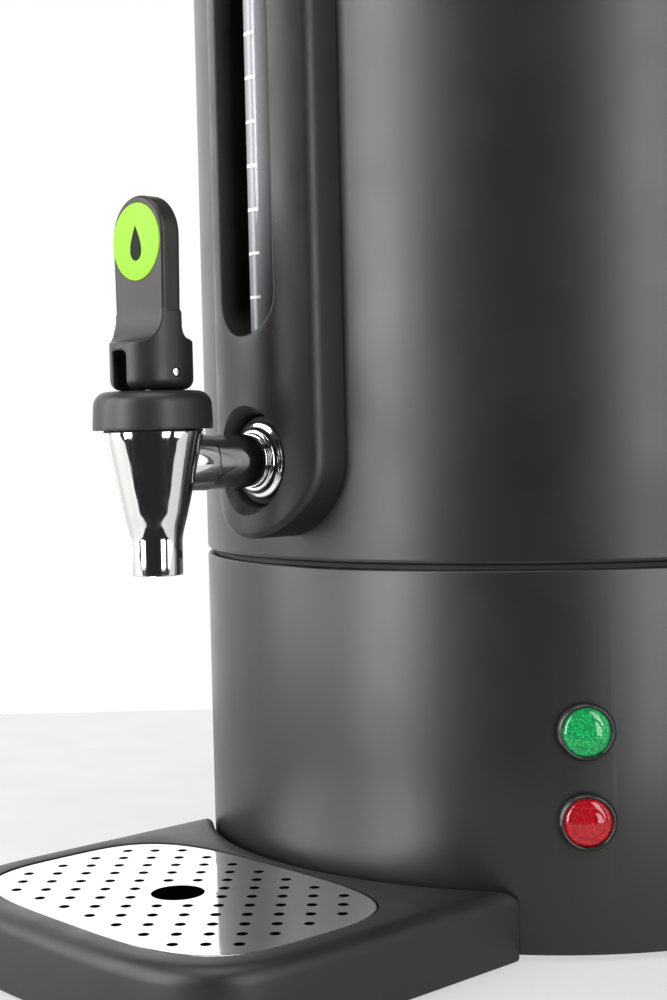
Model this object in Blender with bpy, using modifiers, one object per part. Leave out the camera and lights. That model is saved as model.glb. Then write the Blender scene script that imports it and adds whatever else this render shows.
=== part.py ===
"""Coffee urn with a lever tap, a water gauge and a drip tray.

The urn stands on the floor plane z = 0. Its upright axis is the Z axis, and its tap faces -Y.
All sizes are in metres.
"""

import math

import bmesh
import bpy
from mathutils import Matrix, Vector

# ---------------------------------------------------------------- driving dimensions
GAP = 0.0003  # clearance that two touching pieces keep

# body
BODY_RADIUS = 0.130
FOOT_DROP = 0.002  # the base skirt stands this far off the floor
BASE_HEIGHT = 0.1248
BASE_WALL = 0.0015
BASE_DECK_WIDTH = 0.018
SEAM_HEIGHT = 0.002
CASING_HEIGHT = 0.2712
CASING_WALL = 0.0012
CASING_ROLL = 0.003  # radius of the casing's rolled lower edge
CASING_LIP = 0.001
BASE_PLATE_THICKNESS = 0.0015
BASE_PLATE_RISE = 0.0015
FOOT_RADIUS = 0.011
FOOT_CIRCLE = 0.100

# tank and lid
TANK_RADIUS = 0.115
TANK_WALL = 0.0008
TANK_LIFT = 0.0172  # height of the tank floor over the casing's lower edge
RIM_WALL = 0.0016
RIM_SKIRT = 0.0062
RIM_TOP = 0.0036
RIM_INNER_RADIUS = 0.117
LID_RADIUS = 0.124
LID_RISE = 0.0115
LID_WALL = 0.0014
LID_SKIRT = 0.011
KNOB_RADIUS = 0.018
KNOB_HEIGHT = 0.029
KNOB_SCREW_RADIUS = 0.0024

# percolator
RISER_RADIUS = 0.0045
RISER_BORE = 0.0033
RISER_TOP_ROOM = 0.012
PUMP_RADIUS = 0.028
BASKET_RADIUS = 0.060
BASKET_HEIGHT = 0.070
BASKET_LIFT = 0.154  # height of the basket floor over the tank floor
BASKET_WALL = 0.0008

# heater
HEATER_PLATE_RADIUS = 0.090
HEATER_PLATE_THICKNESS = 0.003
HEATER_COIL_RADIUS = 0.072
HEATER_TUBE_RADIUS = 0.0042

# gauge housing on the front of the casing
SPINE_HALF_WIDTH = 0.0265
SPINE_NOSE_RADIUS = 0.040
SPINE_ROOM = 0.0038  # from the fittings to the housing's front
SPINE_WALL = 0.0025
SPINE_TOP_ROOM = 0.009  # distance from its top to the casing's top
SLOT_HALF_WIDTH = 0.0135
SLOT_WALL = 0.0018
SLOT_BOTTOM = 0.042  # over the tap's axis
SLOT_TOP_ROOM = 0.0275  # below the housing's top
GLASS_RADIUS = 0.006
GLASS_WALL = 0.0013
GLASS_BEHIND = 0.001  # from the glass's back to the casing
GLASS_OUT = GLASS_RADIUS + GLASS_BEHIND  # distance of the glass's axis from the casing
FITTING_WALL = 0.0022
FITTING_RADIUS = GLASS_RADIUS + FITTING_WALL
SPINE_PROUD = GLASS_OUT + FITTING_RADIUS + SPINE_ROOM
FITTING_LENGTH = 0.0165
FITTING_STUB_RADIUS = 0.0045
FITTING_SOCKET = 0.0075

# tap
TAP_HEIGHT = 0.0352  # its shank over the casing's lower edge
TAP_REACH = 0.0567  # its upright axis from the casing
SHANK_RADIUS = 0.009
SHANK_BORE = 0.0052
SHANK_INSIDE = 0.016  # how far the shank reaches into the tank
CONE_TOP_RADIUS = 0.0162
CONE_RISE = 0.0102  # the cone's top over the shank's axis
CONE_WALL = 0.0027
SPOUT_RADIUS = 0.00835
SPOUT_BORE = 0.0065
SPOUT_LENGTH = 0.0128
CONE_LENGTH = 0.0344
NECK_RADIUS = 0.0158
SEAT_BORE = 0.0046
BONNET_RADIUS = 0.0193
BONNET_HEIGHT = 0.0123
BONNET_ROOF = 0.003
STEM_RADIUS = 0.0026
STEM_EYE_RADIUS = 0.0033
PIN_RADIUS = 0.00135
PIN_RISE = 0.0057  # pin axis over the bonnet's top
LEVER_RADIUS = 0.0133
LEVER_BARREL_HEIGHT = 0.0154
LEVER_HEEL = 0.0045  # rounding of the lever's lower edge
LEVER_LENGTH = 0.0618
LEVER_THICKNESS = 0.0074
LEVER_FRONT = 0.0045  # its front face ahead of the tap's axis
LEVER_SLOT_WIDTH = 0.0072
BADGE_RADIUS = 0.0127
BADGE_DROP = 0.0148  # badge centre below the lever's top
BADGE_PROUD = 0.0004
BADGE_SINK = 0.0007
ESCUTCHEON_RADIUS = 0.013
ESCUTCHEON_THICKNESS = 0.002
ESCUTCHEON_HUB_RADIUS = 0.0108
ESCUTCHEON_HUB = 0.0024
WASHER_RADIUS = 0.0151
WASHER_THICKNESS = 0.0016
DISH_FLARE = 0.0062  # how far the dish opens past the washer
DISH_STEP = 0.0018  # height of its upright wall
DISH_DEPTH = 0.0096  # washer seat behind the housing's nose

# drip tray
TRAY_HALF_WIDTH = 0.0788
TRAY_HALF_DEPTH = 0.055
TRAY_CENTRE_OUT = 0.052  # tray centre from the casing
TRAY_HEIGHT = 0.0241
TRAY_ROUNDING = 0.0055
TRAY_FLOOR = 0.004
TRAY_LEDGE = 0.0035
GRID_HALF_WIDTH = 0.0674
GRID_HALF_DEPTH = 0.0438
GRID_THICKNESS = 0.001
CORNER_POWER = 3.6  # squareness of the tray's and grid's outline
HOLE_RADIUS = 0.00177
HOLE_PITCH_X = 0.0142
HOLE_PITCH_Y = 0.0138
HOLE_COLUMNS = 8
HOLE_ROWS = 5
DRAIN_RADIUS = 0.0088

# lamps
LAMP_AZIMUTH = math.radians(47.1)
LAMP_HEIGHTS = {"green": 0.0750, "red": 0.0458}
LAMP_BEZEL_RADIUS = 0.00965
LAMP_BEZEL_PROUD = 0.0024
LAMP_BARREL_RADIUS = 0.0086
LAMP_LENS_RADIUS = 0.0077
LAMP_LENS_DOME = 0.0016
LAMP_NUT_RADIUS = 0.012

# handles
HANDLE_DROP = 0.017  # handle centre below the casing's top
HANDLE_HALF_LENGTH = 0.052
HANDLE_REACH = 0.036
HANDLE_GRIP = 0.013
HANDLE_HEIGHT = 0.016
HANDLE_ROUNDING = 0.004
HANDLE_SCREW_RADIUS = 0.0019
HANDLE_SCREW_LENGTH = 0.009

# power inlet and switch, at the back of the base
PLATE_HALF_WIDTH = 0.027
PLATE_BOTTOM = 0.026
PLATE_HEIGHT = 0.074
PLATE_PROUD = 0.003
INLET_WIDTH = 0.027
INLET_HEIGHT = 0.020
INLET_RISE = 0.020  # inlet centre over the plate's lower edge
INLET_DEPTH = 0.020
SWITCH_WIDTH = 0.021
SWITCH_HEIGHT = 0.029
SWITCH_RISE = 0.053
SWITCH_DEPTH = 0.016
FLANGE_LIP = 0.0018
FLANGE_THICKNESS = 0.0018
ROCKER_TILT = math.radians(7)

# thermal cut-out reset button, under the base
RESET_RADIUS = 0.003
RESET_OUT = 0.060
RESET_BODY = 0.009

# The smaller sizes inside and behind.
TANK_CORNER = 0.008
PUMP_RISE = 0.014  # height of the pump skirt under the riser tube
PUMP_WALL = 0.0015
COLLAR_WIDTH = 0.0035  # the riser's collar, which carries the basket
COLLAR_HEIGHT = 0.002
HUB_RISE = 0.003  # the basket's middle tube over its rim
COVER_LIP = 0.0015
COVER_DEPTH = 0.0022
COVER_WALL = 0.0014
HEATER_TAIL = 0.020
CAPSULE_OUT = 0.028  # thermostat and fuse from the middle
THERMOSTAT_RADIUS = 0.009
FUSE_RADIUS = 0.007
CAPSULE_LIP = 0.003
CAPSULE_HEIGHT = 0.010
CAPSULE_TERMINAL = 0.006
RESET_STROKE_ROOM = 0.005
SPINE_REACH = 0.006  # how far the gauge housing is drawn into the body before it is cut
FITTING_BORE_WALL = 0.0015
SPOUT_SHOULDER = 0.0008
SEAT_RISE = 0.005  # the valve seat over the cone's lower end
SEAT_LAND = 0.002
SADDLE_PROUD = 0.0006
SADDLE_REACH = 0.0197
NUT_RADIUS = 0.0145
NUT_LENGTH = 0.006
SEAL_THICKNESS = 0.002
BONNET_ROUNDING = 0.0035
BONNET_TAPER = 0.0004
CUP_HEIGHT = 0.009
STEM_COLLAR_RADIUS = 0.0062
STEM_COLLAR_HEIGHT = 0.0015
STEM_COLLAR_DROP = 0.004
SPRING_RADIUS = 0.0048
SPRING_WIRE = 0.0005
SPRING_TURNS = 5
PADDLE_ROUNDING = 0.0012
LAMP_SINK = 0.004  # lamp pocket's floor behind the body's surface
LAMP_TERMINAL = 0.010
LAMP_NUT_THICKNESS = 0.003
HANDLE_BEND = 0.024
HANDLE_SINK = 0.018
PLATE_SINK = 0.012
PLATE_ROUNDING = 0.002
FLANGE_ROUNDING = 0.0008
BOX_ROUNDING = 0.0012
INLET_WALL = 0.0018
SWITCH_WALL = 0.0015
INLET_PIN_PITCH = 0.007
INLET_EARTH_RISE = 0.004
INLET_PIN_HALF = 0.001
ROCKER_DEPTH = 0.0075  # pivot behind the frame's front
ROCKER_ROOM = 0.0011
ROCKER_EAR = 0.0078
CUT_MARGIN = 0.001  # what a cutter reaches past the face that it cuts

# ---------------------------------------------------------------- places worked out from the sizes
base_bottom = FOOT_DROP
base_top = base_bottom + BASE_HEIGHT
casing_bottom = base_top + SEAM_HEIGHT
casing_top = casing_bottom + CASING_HEIGHT
tank_floor = casing_bottom + TANK_LIFT
tap_z = casing_bottom + TAP_HEIGHT
tap_y = -BODY_RADIUS - TAP_REACH
nose_y = -BODY_RADIUS - SPINE_PROUD
glass_y = -BODY_RADIUS - GLASS_OUT
cone_top = tap_z + CONE_RISE
cone_bottom = cone_top - CONE_LENGTH
spout_bottom = cone_bottom - SPOUT_LENGTH
bonnet_bottom = cone_top + 3 * GAP
bonnet_top = bonnet_bottom + BONNET_HEIGHT
pin_z = bonnet_top + PIN_RISE
spine_bottom = tap_z - SPINE_HALF_WIDTH
spine_top = casing_top - SPINE_TOP_ROOM
slot_bottom = tap_z + SLOT_BOTTOM
slot_top = spine_top - SLOT_TOP_ROOM
washer_seat_y = nose_y + DISH_DEPTH
tray_y = -BODY_RADIUS - TRAY_CENTRE_OUT
grid_top = TRAY_HEIGHT - GAP
rim_bottom = casing_top - RIM_SKIRT
flange_top = casing_top + GAP + TANK_WALL
rim_top = flange_top + GAP + RIM_TOP
lid_bottom = rim_top + GAP
lid_top = lid_bottom + LID_RISE + LID_WALL
plate_y = BODY_RADIUS + PLATE_PROUD

ALONG_Y = Matrix.Rotation(math.pi / 2, 4, "X")  # turns a local +Z into -Y
BIG = 40  # facets round the body
MEDIUM = 24  # round a knob, a disc or the tap
SMALL = 16  # round a tube or a screw
FINE = 12  # round a small bore
flats = math.cos(math.pi / BIG)  # the body's facets lie this share of its radius from the axis


# ---------------------------------------------------------------- helpers
def start_scene():
    for old in list(bpy.data.objects):
        bpy.data.objects.remove(old, do_unlink=True)
    for name in ("coffee_urn", "cutters"):
        bpy.context.scene.collection.children.link(bpy.data.collections.new(name))


def material(name, colour, roughness, metallic=0.0):
    made = bpy.data.materials.new(name)
    made.use_nodes = True
    shader = made.node_tree.nodes["Principled BSDF"]
    shader.inputs["Base Color"].default_value = (*colour, 1.0)
    shader.inputs["Roughness"].default_value = roughness
    shader.inputs["Metallic"].default_value = metallic
    made.diffuse_color = (*colour, 1.0)
    return made


def place(made, finish=None, where=None):
    """Moves an object to the part's collection, or to the cutters' when it has no finish."""
    for collection in list(made.users_collection):
        collection.objects.unlink(made)
    if where is not None:
        made.matrix_world = where
    if finish is None:
        bpy.data.collections["cutters"].objects.link(made)
        made.hide_render = True
        made.display_type = "WIRE"
    else:
        bpy.data.collections["coffee_urn"].objects.link(made)
        made.data.materials.clear()
        made.data.materials.append(finish)
    return made


def turned(name, profile, finish=None, where=None, steps=SMALL):
    """A profile of (radius, height) points, down the outer side and up the inner one, turned."""
    mesh = bpy.data.meshes.new(name)
    points = [(radius, 0.0, height) for radius, height in profile]
    closed = profile[0][0] > 0 or profile[-1][0] > 0
    count = len(points)
    edges = [(i, (i + 1) % count) for i in range(count if closed else count - 1)]
    mesh.from_pydata(points, edges, [])
    made = bpy.data.objects.new(name, mesh)
    screw = made.modifiers.new("turn", "SCREW")
    screw.steps = steps
    screw.render_steps = steps
    screw.use_merge_vertices = True
    screw.merge_threshold = 0.00001
    screw.use_smooth_shade = True
    return place(made, finish, where)


def box(name, low, high, finish=None, where=None, rounding=0.0, segments=2):
    low, high = Vector(low), Vector(high)
    bpy.ops.mesh.primitive_cube_add(size=1.0)
    made = bpy.context.active_object
    made.name = name
    size = high - low
    made.data.transform(Matrix.Translation((low + high) / 2) @ Matrix.Diagonal((*size, 1.0)))
    if rounding:
        soften(made, rounding, segments)
    return place(made, finish, where)


def cylinder(name, radius, start, length, axis="Z", at=(0.0, 0.0), finish=None, steps=SMALL):
    """A cylinder from start along +axis. The two values of at are its other coordinates, in XYZ order."""
    bpy.ops.mesh.primitive_cylinder_add(vertices=steps, radius=radius, depth=length)
    made = bpy.context.active_object
    made.name = name
    made.data.transform(Matrix.Translation((0, 0, start + length / 2)))
    if axis == "Z":
        where = Matrix.Translation((at[0], at[1], 0))
    elif axis == "Y":
        where = Matrix.Translation((at[0], 0, at[1])) @ Matrix.Rotation(-math.pi / 2, 4, "X")
    else:
        where = Matrix.Translation((0, at[0], at[1])) @ Matrix.Rotation(math.pi / 2, 4, "Y")
    made.data.transform(where)
    made.data.shade_smooth()
    made.data.set_sharp_from_angle(angle=math.radians(40))
    return place(made, finish)


def soften(made, width, segments=2, angle=40):
    bevel = made.modifiers.new("soften", "BEVEL")
    bevel.width = width
    bevel.segments = segments
    bevel.limit_method = "ANGLE"
    bevel.angle_limit = math.radians(angle)
    return made


def soften_top(made, width, segments):
    """Rounds only the upper rim of an upright extrusion."""
    mesh = made.data
    top = max(vertex.co.z for vertex in mesh.vertices)
    on_top = [vertex.co.z > top - 0.00001 for vertex in mesh.vertices]
    weight = mesh.attributes.new("bevel_weight_edge", "FLOAT", "EDGE")
    for edge in mesh.edges:
        weight.data[edge.index].value = float(all(on_top[i] for i in edge.vertices))
    bevel = made.modifiers.new("soften_top", "BEVEL")
    bevel.width = width
    bevel.segments = segments
    bevel.limit_method = "WEIGHT"


def boolean(made, other, operation):
    step = made.modifiers.new(other.name, "BOOLEAN")
    step.operation = operation
    step.solver = "EXACT"
    step.object = other
    other.hide_render = True
    other.display_type = "WIRE"
    return made


def cut(made, *others):
    for other in others:
        boolean(made, other, "DIFFERENCE")
    return made


def join(made, *others):
    for other in others:
        boolean(made, other, "UNION")
    return made


def keep(made, other):
    return boolean(made, other, "INTERSECT")


def use_manifold(*pieces):
    """Changes the solver of a thin-walled piece whose cuts the exact solver leaves open."""
    for made in pieces:
        for step in made.modifiers:
            if step.type == "BOOLEAN":
                step.solver = "MANIFOLD"


def meshed(curve_object):
    """Makes a curve object a mesh object with welded caps, in the same place."""
    graph = bpy.context.evaluated_depsgraph_get()
    mesh = bpy.data.meshes.new_from_object(curve_object.evaluated_get(graph))
    welded = bmesh.new()
    welded.from_mesh(mesh)
    bmesh.ops.remove_doubles(welded, verts=welded.verts, dist=0.00001)
    bmesh.ops.dissolve_limit(
        welded, angle_limit=math.radians(1), verts=welded.verts, edges=welded.edges, delimit={"NORMAL"}
    )
    bmesh.ops.recalc_face_normals(welded, faces=welded.faces)
    welded.to_mesh(mesh)
    welded.free()
    made = bpy.data.objects.new(curve_object.name, mesh)
    made.matrix_world = curve_object.matrix_world
    name = curve_object.name
    bpy.data.objects.remove(curve_object, do_unlink=True)
    made.name = name
    return made


def outline(name, points, start, length, finish=None, where=None):
    """A flat outline of (x, y) points, extruded from start along its own +Z."""
    data = bpy.data.curves.new(name, "CURVE")
    data.dimensions = "2D"
    data.fill_mode = "BOTH"
    data.extrude = length / 2
    spline = data.splines.new("POLY")
    spline.points.add(len(points) - 1)
    for point, (x, y) in zip(spline.points, points):
        point.co = (x, y, 0.0, 1.0)
    spline.use_cyclic_u = True
    flat = bpy.data.objects.new(name, data)
    bpy.context.scene.collection.objects.link(flat)
    bpy.context.view_layer.update()
    made = meshed(flat)
    made.data.transform(Matrix.Translation((0, 0, start + length / 2)))
    return place(made, finish, where)


def tube(name, points, radius, finish=None, resolution=2):
    """A round tube with closed ends through the points."""
    data = bpy.data.curves.new(name, "CURVE")
    data.dimensions = "3D"
    data.bevel_depth = radius
    data.bevel_resolution = resolution
    data.use_fill_caps = True
    spline = data.splines.new("POLY")
    spline.points.add(len(points) - 1)
    for point, place_at in zip(spline.points, points):
        point.co = (*place_at, 1.0)
    run = bpy.data.objects.new(name, data)
    bpy.context.scene.collection.objects.link(run)
    bpy.context.view_layer.update()
    return place(meshed(run), finish)


def axis_empty(name, at, *pieces):
    """An empty on a joint's axis, which the moving pieces hang from."""
    empty = bpy.data.objects.new(name, None)
    empty.location = at
    empty.empty_display_size = 0.01
    bpy.data.collections["coffee_urn"].objects.link(empty)
    bpy.context.view_layer.update()
    for piece in pieces:
        piece.parent = empty
        piece.matrix_parent_inverse = empty.matrix_world.inverted()
    return empty


def arc(centre, radius, start, end, count):
    """Points on an arc, from one angle to another in degrees."""
    angles = [math.radians(start + (end - start) * i / count) for i in range(count + 1)]
    return [(centre[0] + radius * math.cos(a), centre[1] + radius * math.sin(a)) for a in angles]


def stadium(half_width, bottom, top, count=10):
    """An upright slot shape between two heights, with round ends."""
    upper = arc((0, top - half_width), half_width, 0, 180, count)
    lower = arc((0, bottom + half_width), half_width, 180, 360, count)
    return upper + lower


def squircle(half_x, half_y, centre_y, start=0, end=360, count=48):
    """A rounded rectangle whose sides bulge a little, or the stretch of it between two angles."""
    points = []
    for i in range(count):
        angle = math.radians(start + (end - start) * i / count)
        c, s = math.cos(angle), math.sin(angle)
        x = math.copysign(abs(c) ** (2 / CORNER_POWER), c)
        y = math.copysign(abs(s) ** (2 / CORNER_POWER), s)
        points.append((half_x * x, centre_y + half_y * y))
    return points


def from_front(y):
    """Places a shape drawn in the XZ plane, whose extrusion then runs from y towards -Y."""
    return Matrix.Translation((0, y, 0)) @ ALONG_Y


def radial(angle, height):
    """Turns a shape's local +Z outwards from the body's axis. Angle 0 is the front, +X is positive."""
    return Matrix.Translation((0, 0, height)) @ Matrix.Rotation(angle, 4, "Z") @ ALONG_Y


# ---------------------------------------------------------------- materials
def make_materials():
    return {
        "matt_black": material("matt_black_coat", (0.032, 0.032, 0.031), 0.45),
        "plastic": material("black_plastic", (0.022, 0.022, 0.022), 0.5),
        "rubber": material("black_rubber", (0.012, 0.012, 0.012), 0.8),
        "steel": material("brushed_steel", (0.55, 0.55, 0.54), 0.3, 1.0),
        "mirror": material("polished_steel", (0.75, 0.75, 0.74), 0.06, 1.0),
        "chrome": material("chrome", (0.8, 0.8, 0.8), 0.05, 1.0),
        "brass": material("brass", (0.6, 0.45, 0.2), 0.35, 1.0),
        "silicone": material("clear_silicone", (0.7, 0.7, 0.66), 0.5),
        "glass": material("gauge_glass", (0.8, 0.82, 0.84), 0.08),
        "badge": material("lime_badge", (0.44, 0.78, 0.07), 0.35),
        "green": material("green_lens", (0.02, 0.36, 0.16), 0.15),
        "red": material("red_lens", (0.5, 0.01, 0.03), 0.15),
        "aluminium": material("cast_aluminium", (0.5, 0.5, 0.5), 0.5, 1.0),
    }


# ---------------------------------------------------------------- body
def make_base(finish):
    inner = BODY_RADIUS - BASE_WALL
    deck_inner = BODY_RADIUS - BASE_DECK_WIDTH
    deck_under = base_top - 2 * BASE_WALL
    housing = turned(
        "base_housing",
        [
            (BODY_RADIUS, base_top),
            (BODY_RADIUS, base_bottom),
            (inner, base_bottom),
            (inner, deck_under),
            (deck_inner, deck_under),
            (deck_inner, base_top),
        ],
        finish["matt_black"],
        steps=BIG,
    )
    for colour, height in LAMP_HEIGHTS.items():
        hole = cylinder("cut_lamp_" + colour, LAMP_BARREL_RADIUS + GAP, BODY_RADIUS / 2, BODY_RADIUS)
        hole.matrix_world = radial(LAMP_AZIMUTH, height)
        cut(housing, hole)
    cut(housing, box(
        "cut_base_window",
        (-INLET_WIDTH / 2 - GAP, BODY_RADIUS / 2, PLATE_BOTTOM + INLET_RISE - INLET_HEIGHT / 2 - GAP),
        (INLET_WIDTH / 2 + GAP, plate_y, PLATE_BOTTOM + SWITCH_RISE + SWITCH_HEIGHT / 2 + GAP),
    ))

    plate_low = base_bottom + BASE_PLATE_RISE
    plate = cylinder(
        "base_plate", inner - GAP, plate_low, BASE_PLATE_THICKNESS, finish=finish["steel"], steps=BIG
    )
    cut(plate, cylinder(
        "cut_reset_hole", RESET_RADIUS + 2 * GAP, 0, base_top / 2, at=(0, RESET_OUT), steps=FINE
    ))
    foot_top = plate_low - GAP
    profile = [
        (0, foot_top),
        (FOOT_RADIUS, foot_top),
        (FOOT_RADIUS, foot_top * 0.5),
        (FOOT_RADIUS * 0.93, 0),
        (0, 0),
    ]
    for side, x_sign in (("left", -1), ("right", 1)):
        for end, y_sign in (("front", -1), ("rear", 1)):
            at = Matrix.Translation(
                (x_sign * FOOT_CIRCLE * math.sqrt(0.5), y_sign * FOOT_CIRCLE * math.sqrt(0.5), 0)
            )
            turned(f"foot_{end}_{side}", profile, finish["rubber"], at, steps=FINE)

    ring_top = casing_bottom + TANK_LIFT / 2
    lip_radius = BODY_RADIUS - CASING_ROLL - CASING_LIP
    turned(
        "seam_ring",
        [
            (lip_radius - GAP, ring_top),
            (lip_radius - GAP, casing_bottom - GAP),
            (lip_radius + CASING_LIP, casing_bottom - GAP),
            (lip_radius + CASING_LIP, base_top + GAP),
            (lip_radius - BASE_DECK_WIDTH / 3, base_top + GAP),
            (lip_radius - BASE_DECK_WIDTH / 3, ring_top),
        ],
        finish["plastic"],
        steps=BIG,
    )


def make_casing(finish):
    roll_centre = (BODY_RADIUS - CASING_ROLL, casing_bottom + CASING_ROLL)
    lip_radius = BODY_RADIUS - CASING_ROLL - CASING_LIP
    outer_roll = arc(roll_centre, CASING_ROLL, 0, -90, 3)
    inner_roll = arc(roll_centre, CASING_ROLL - CASING_WALL, -90, 0, 2)
    casing = turned(
        "outer_casing",
        [(BODY_RADIUS, casing_top)]
        + outer_roll
        + [(lip_radius, casing_bottom), (lip_radius, casing_bottom + CASING_WALL)]
        + inner_roll
        + [(BODY_RADIUS - CASING_WALL, casing_top)],
        finish["matt_black"],
        steps=BIG,
    )
    tank_outer = TANK_RADIUS + TANK_WALL
    tank = turned(
        "inner_tank",
        [
            (BODY_RADIUS - GAP, flange_top),
            (BODY_RADIUS - GAP, casing_top + GAP),
            (tank_outer, casing_top + GAP),
        ]
        + arc((tank_outer - TANK_CORNER, tank_floor - TANK_WALL + TANK_CORNER), TANK_CORNER, 0, -90, 3)
        + [(0, tank_floor - TANK_WALL), (0, tank_floor)]
        + arc((TANK_RADIUS - TANK_CORNER + TANK_WALL, tank_floor + TANK_CORNER - TANK_WALL),
              TANK_CORNER - TANK_WALL, -90, 0, 3)
        + [(TANK_RADIUS, flange_top)],
        finish["steel"],
        steps=BIG,
    )
    reach = BODY_RADIUS / 2
    shank_hole = SHANK_RADIUS + GAP
    stub_hole = FITTING_STUB_RADIUS + GAP
    for shell in (casing, tank):
        name = "cut_shank_" + shell.name
        cut(shell, cylinder(name, shank_hole, -BODY_RADIUS - reach, 2 * reach, "Y", (0, tap_z)))
        for level, height in fitting_heights().items():
            name = f"cut_{level}_stub_{shell.name}"
            cut(shell, cylinder(name, stub_hole, -BODY_RADIUS - reach, 2 * reach, "Y", (0, height), steps=FINE))
    return casing


def make_rim(finish):
    outer = BODY_RADIUS + GAP + RIM_WALL
    turned(
        "top_rim",
        [(RIM_INNER_RADIUS, rim_top)]
        + arc((outer - RIM_WALL, rim_top - RIM_WALL), RIM_WALL, 90, 0, 2)
        + [
            (outer, rim_bottom),
            (BODY_RADIUS + GAP, rim_bottom),
            (BODY_RADIUS + GAP, flange_top + GAP),
            (RIM_INNER_RADIUS, flange_top + GAP),
        ],
        finish["plastic"],
        steps=BIG,
    )


def make_lid(finish):
    skirt = TANK_RADIUS - 5 * GAP
    dome = [(0, lid_top)]
    for i in range(1, 4):
        share = i / 3
        dome.append((LID_RADIUS * 0.93 * share, lid_top - LID_RISE * 0.55 * share**2))
    shell = turned(
        "lid",
        dome
        + [
            (LID_RADIUS, lid_bottom + LID_WALL),
            (LID_RADIUS, lid_bottom),
            (skirt, lid_bottom),
            (skirt, lid_bottom - LID_SKIRT),
            (skirt - LID_WALL, lid_bottom - LID_SKIRT),
            (skirt - LID_WALL, lid_bottom + LID_RISE * 0.3),
            (0, lid_top - LID_WALL),
        ],
        finish["steel"],
        steps=BIG,
    )
    cut(shell, cylinder("cut_lid_screw", KNOB_SCREW_RADIUS + GAP, lid_bottom, 2 * LID_RISE, steps=FINE))
    vent = cylinder(
        "cut_lid_vent", KNOB_SCREW_RADIUS, lid_bottom, 2 * LID_RISE, at=(0, LID_RADIUS / 2), steps=FINE
    )
    cut(shell, vent)
    seal = turned(
        "lid_seal",
        [
            (TANK_RADIUS - GAP, lid_bottom - LID_SKIRT * 0.45),
            (TANK_RADIUS - GAP, lid_bottom - LID_SKIRT * 0.7),
            (skirt + GAP, lid_bottom - LID_SKIRT * 0.8),
            (skirt + GAP, lid_bottom - LID_SKIRT * 0.35),
        ],
        finish["silicone"],
        steps=BIG,
    )
    foot = lid_top + GAP
    knob = turned(
        "lid_knob",
        [
            (0, foot + KNOB_HEIGHT),
            (KNOB_RADIUS * 0.55, foot + KNOB_HEIGHT * 0.985),
            (KNOB_RADIUS * 0.9, foot + KNOB_HEIGHT * 0.91),
            (KNOB_RADIUS, foot + KNOB_HEIGHT * 0.8),
            (KNOB_RADIUS * 0.93, foot + KNOB_HEIGHT * 0.66),
            (KNOB_RADIUS * 0.6, foot + KNOB_HEIGHT * 0.45),
            (KNOB_RADIUS * 0.55, foot + KNOB_HEIGHT * 0.2),
            (KNOB_RADIUS * 0.75, foot),
            (KNOB_SCREW_RADIUS + GAP, foot),
            (KNOB_SCREW_RADIUS + GAP, foot + KNOB_HEIGHT * 0.5),
            (0, foot + KNOB_HEIGHT * 0.5),
        ],
        finish["plastic"],
        steps=MEDIUM,
    )
    head_top = lid_top - LID_WALL - 3 * GAP
    screw = turned(
        "knob_screw",
        [
            (0, foot + KNOB_HEIGHT * 0.45),
            (KNOB_SCREW_RADIUS, foot + KNOB_HEIGHT * 0.45),
            (KNOB_SCREW_RADIUS, head_top),
            (KNOB_SCREW_RADIUS * 2.1, head_top),
            (KNOB_SCREW_RADIUS * 2.1, head_top - KNOB_SCREW_RADIUS * 0.9),
            (0, head_top - KNOB_SCREW_RADIUS * 1.2),
        ],
        finish["steel"],
        steps=FINE,
    )
    axis_empty("lid_axis", (0, 0, lid_bottom), shell, seal, knob, screw)


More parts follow.
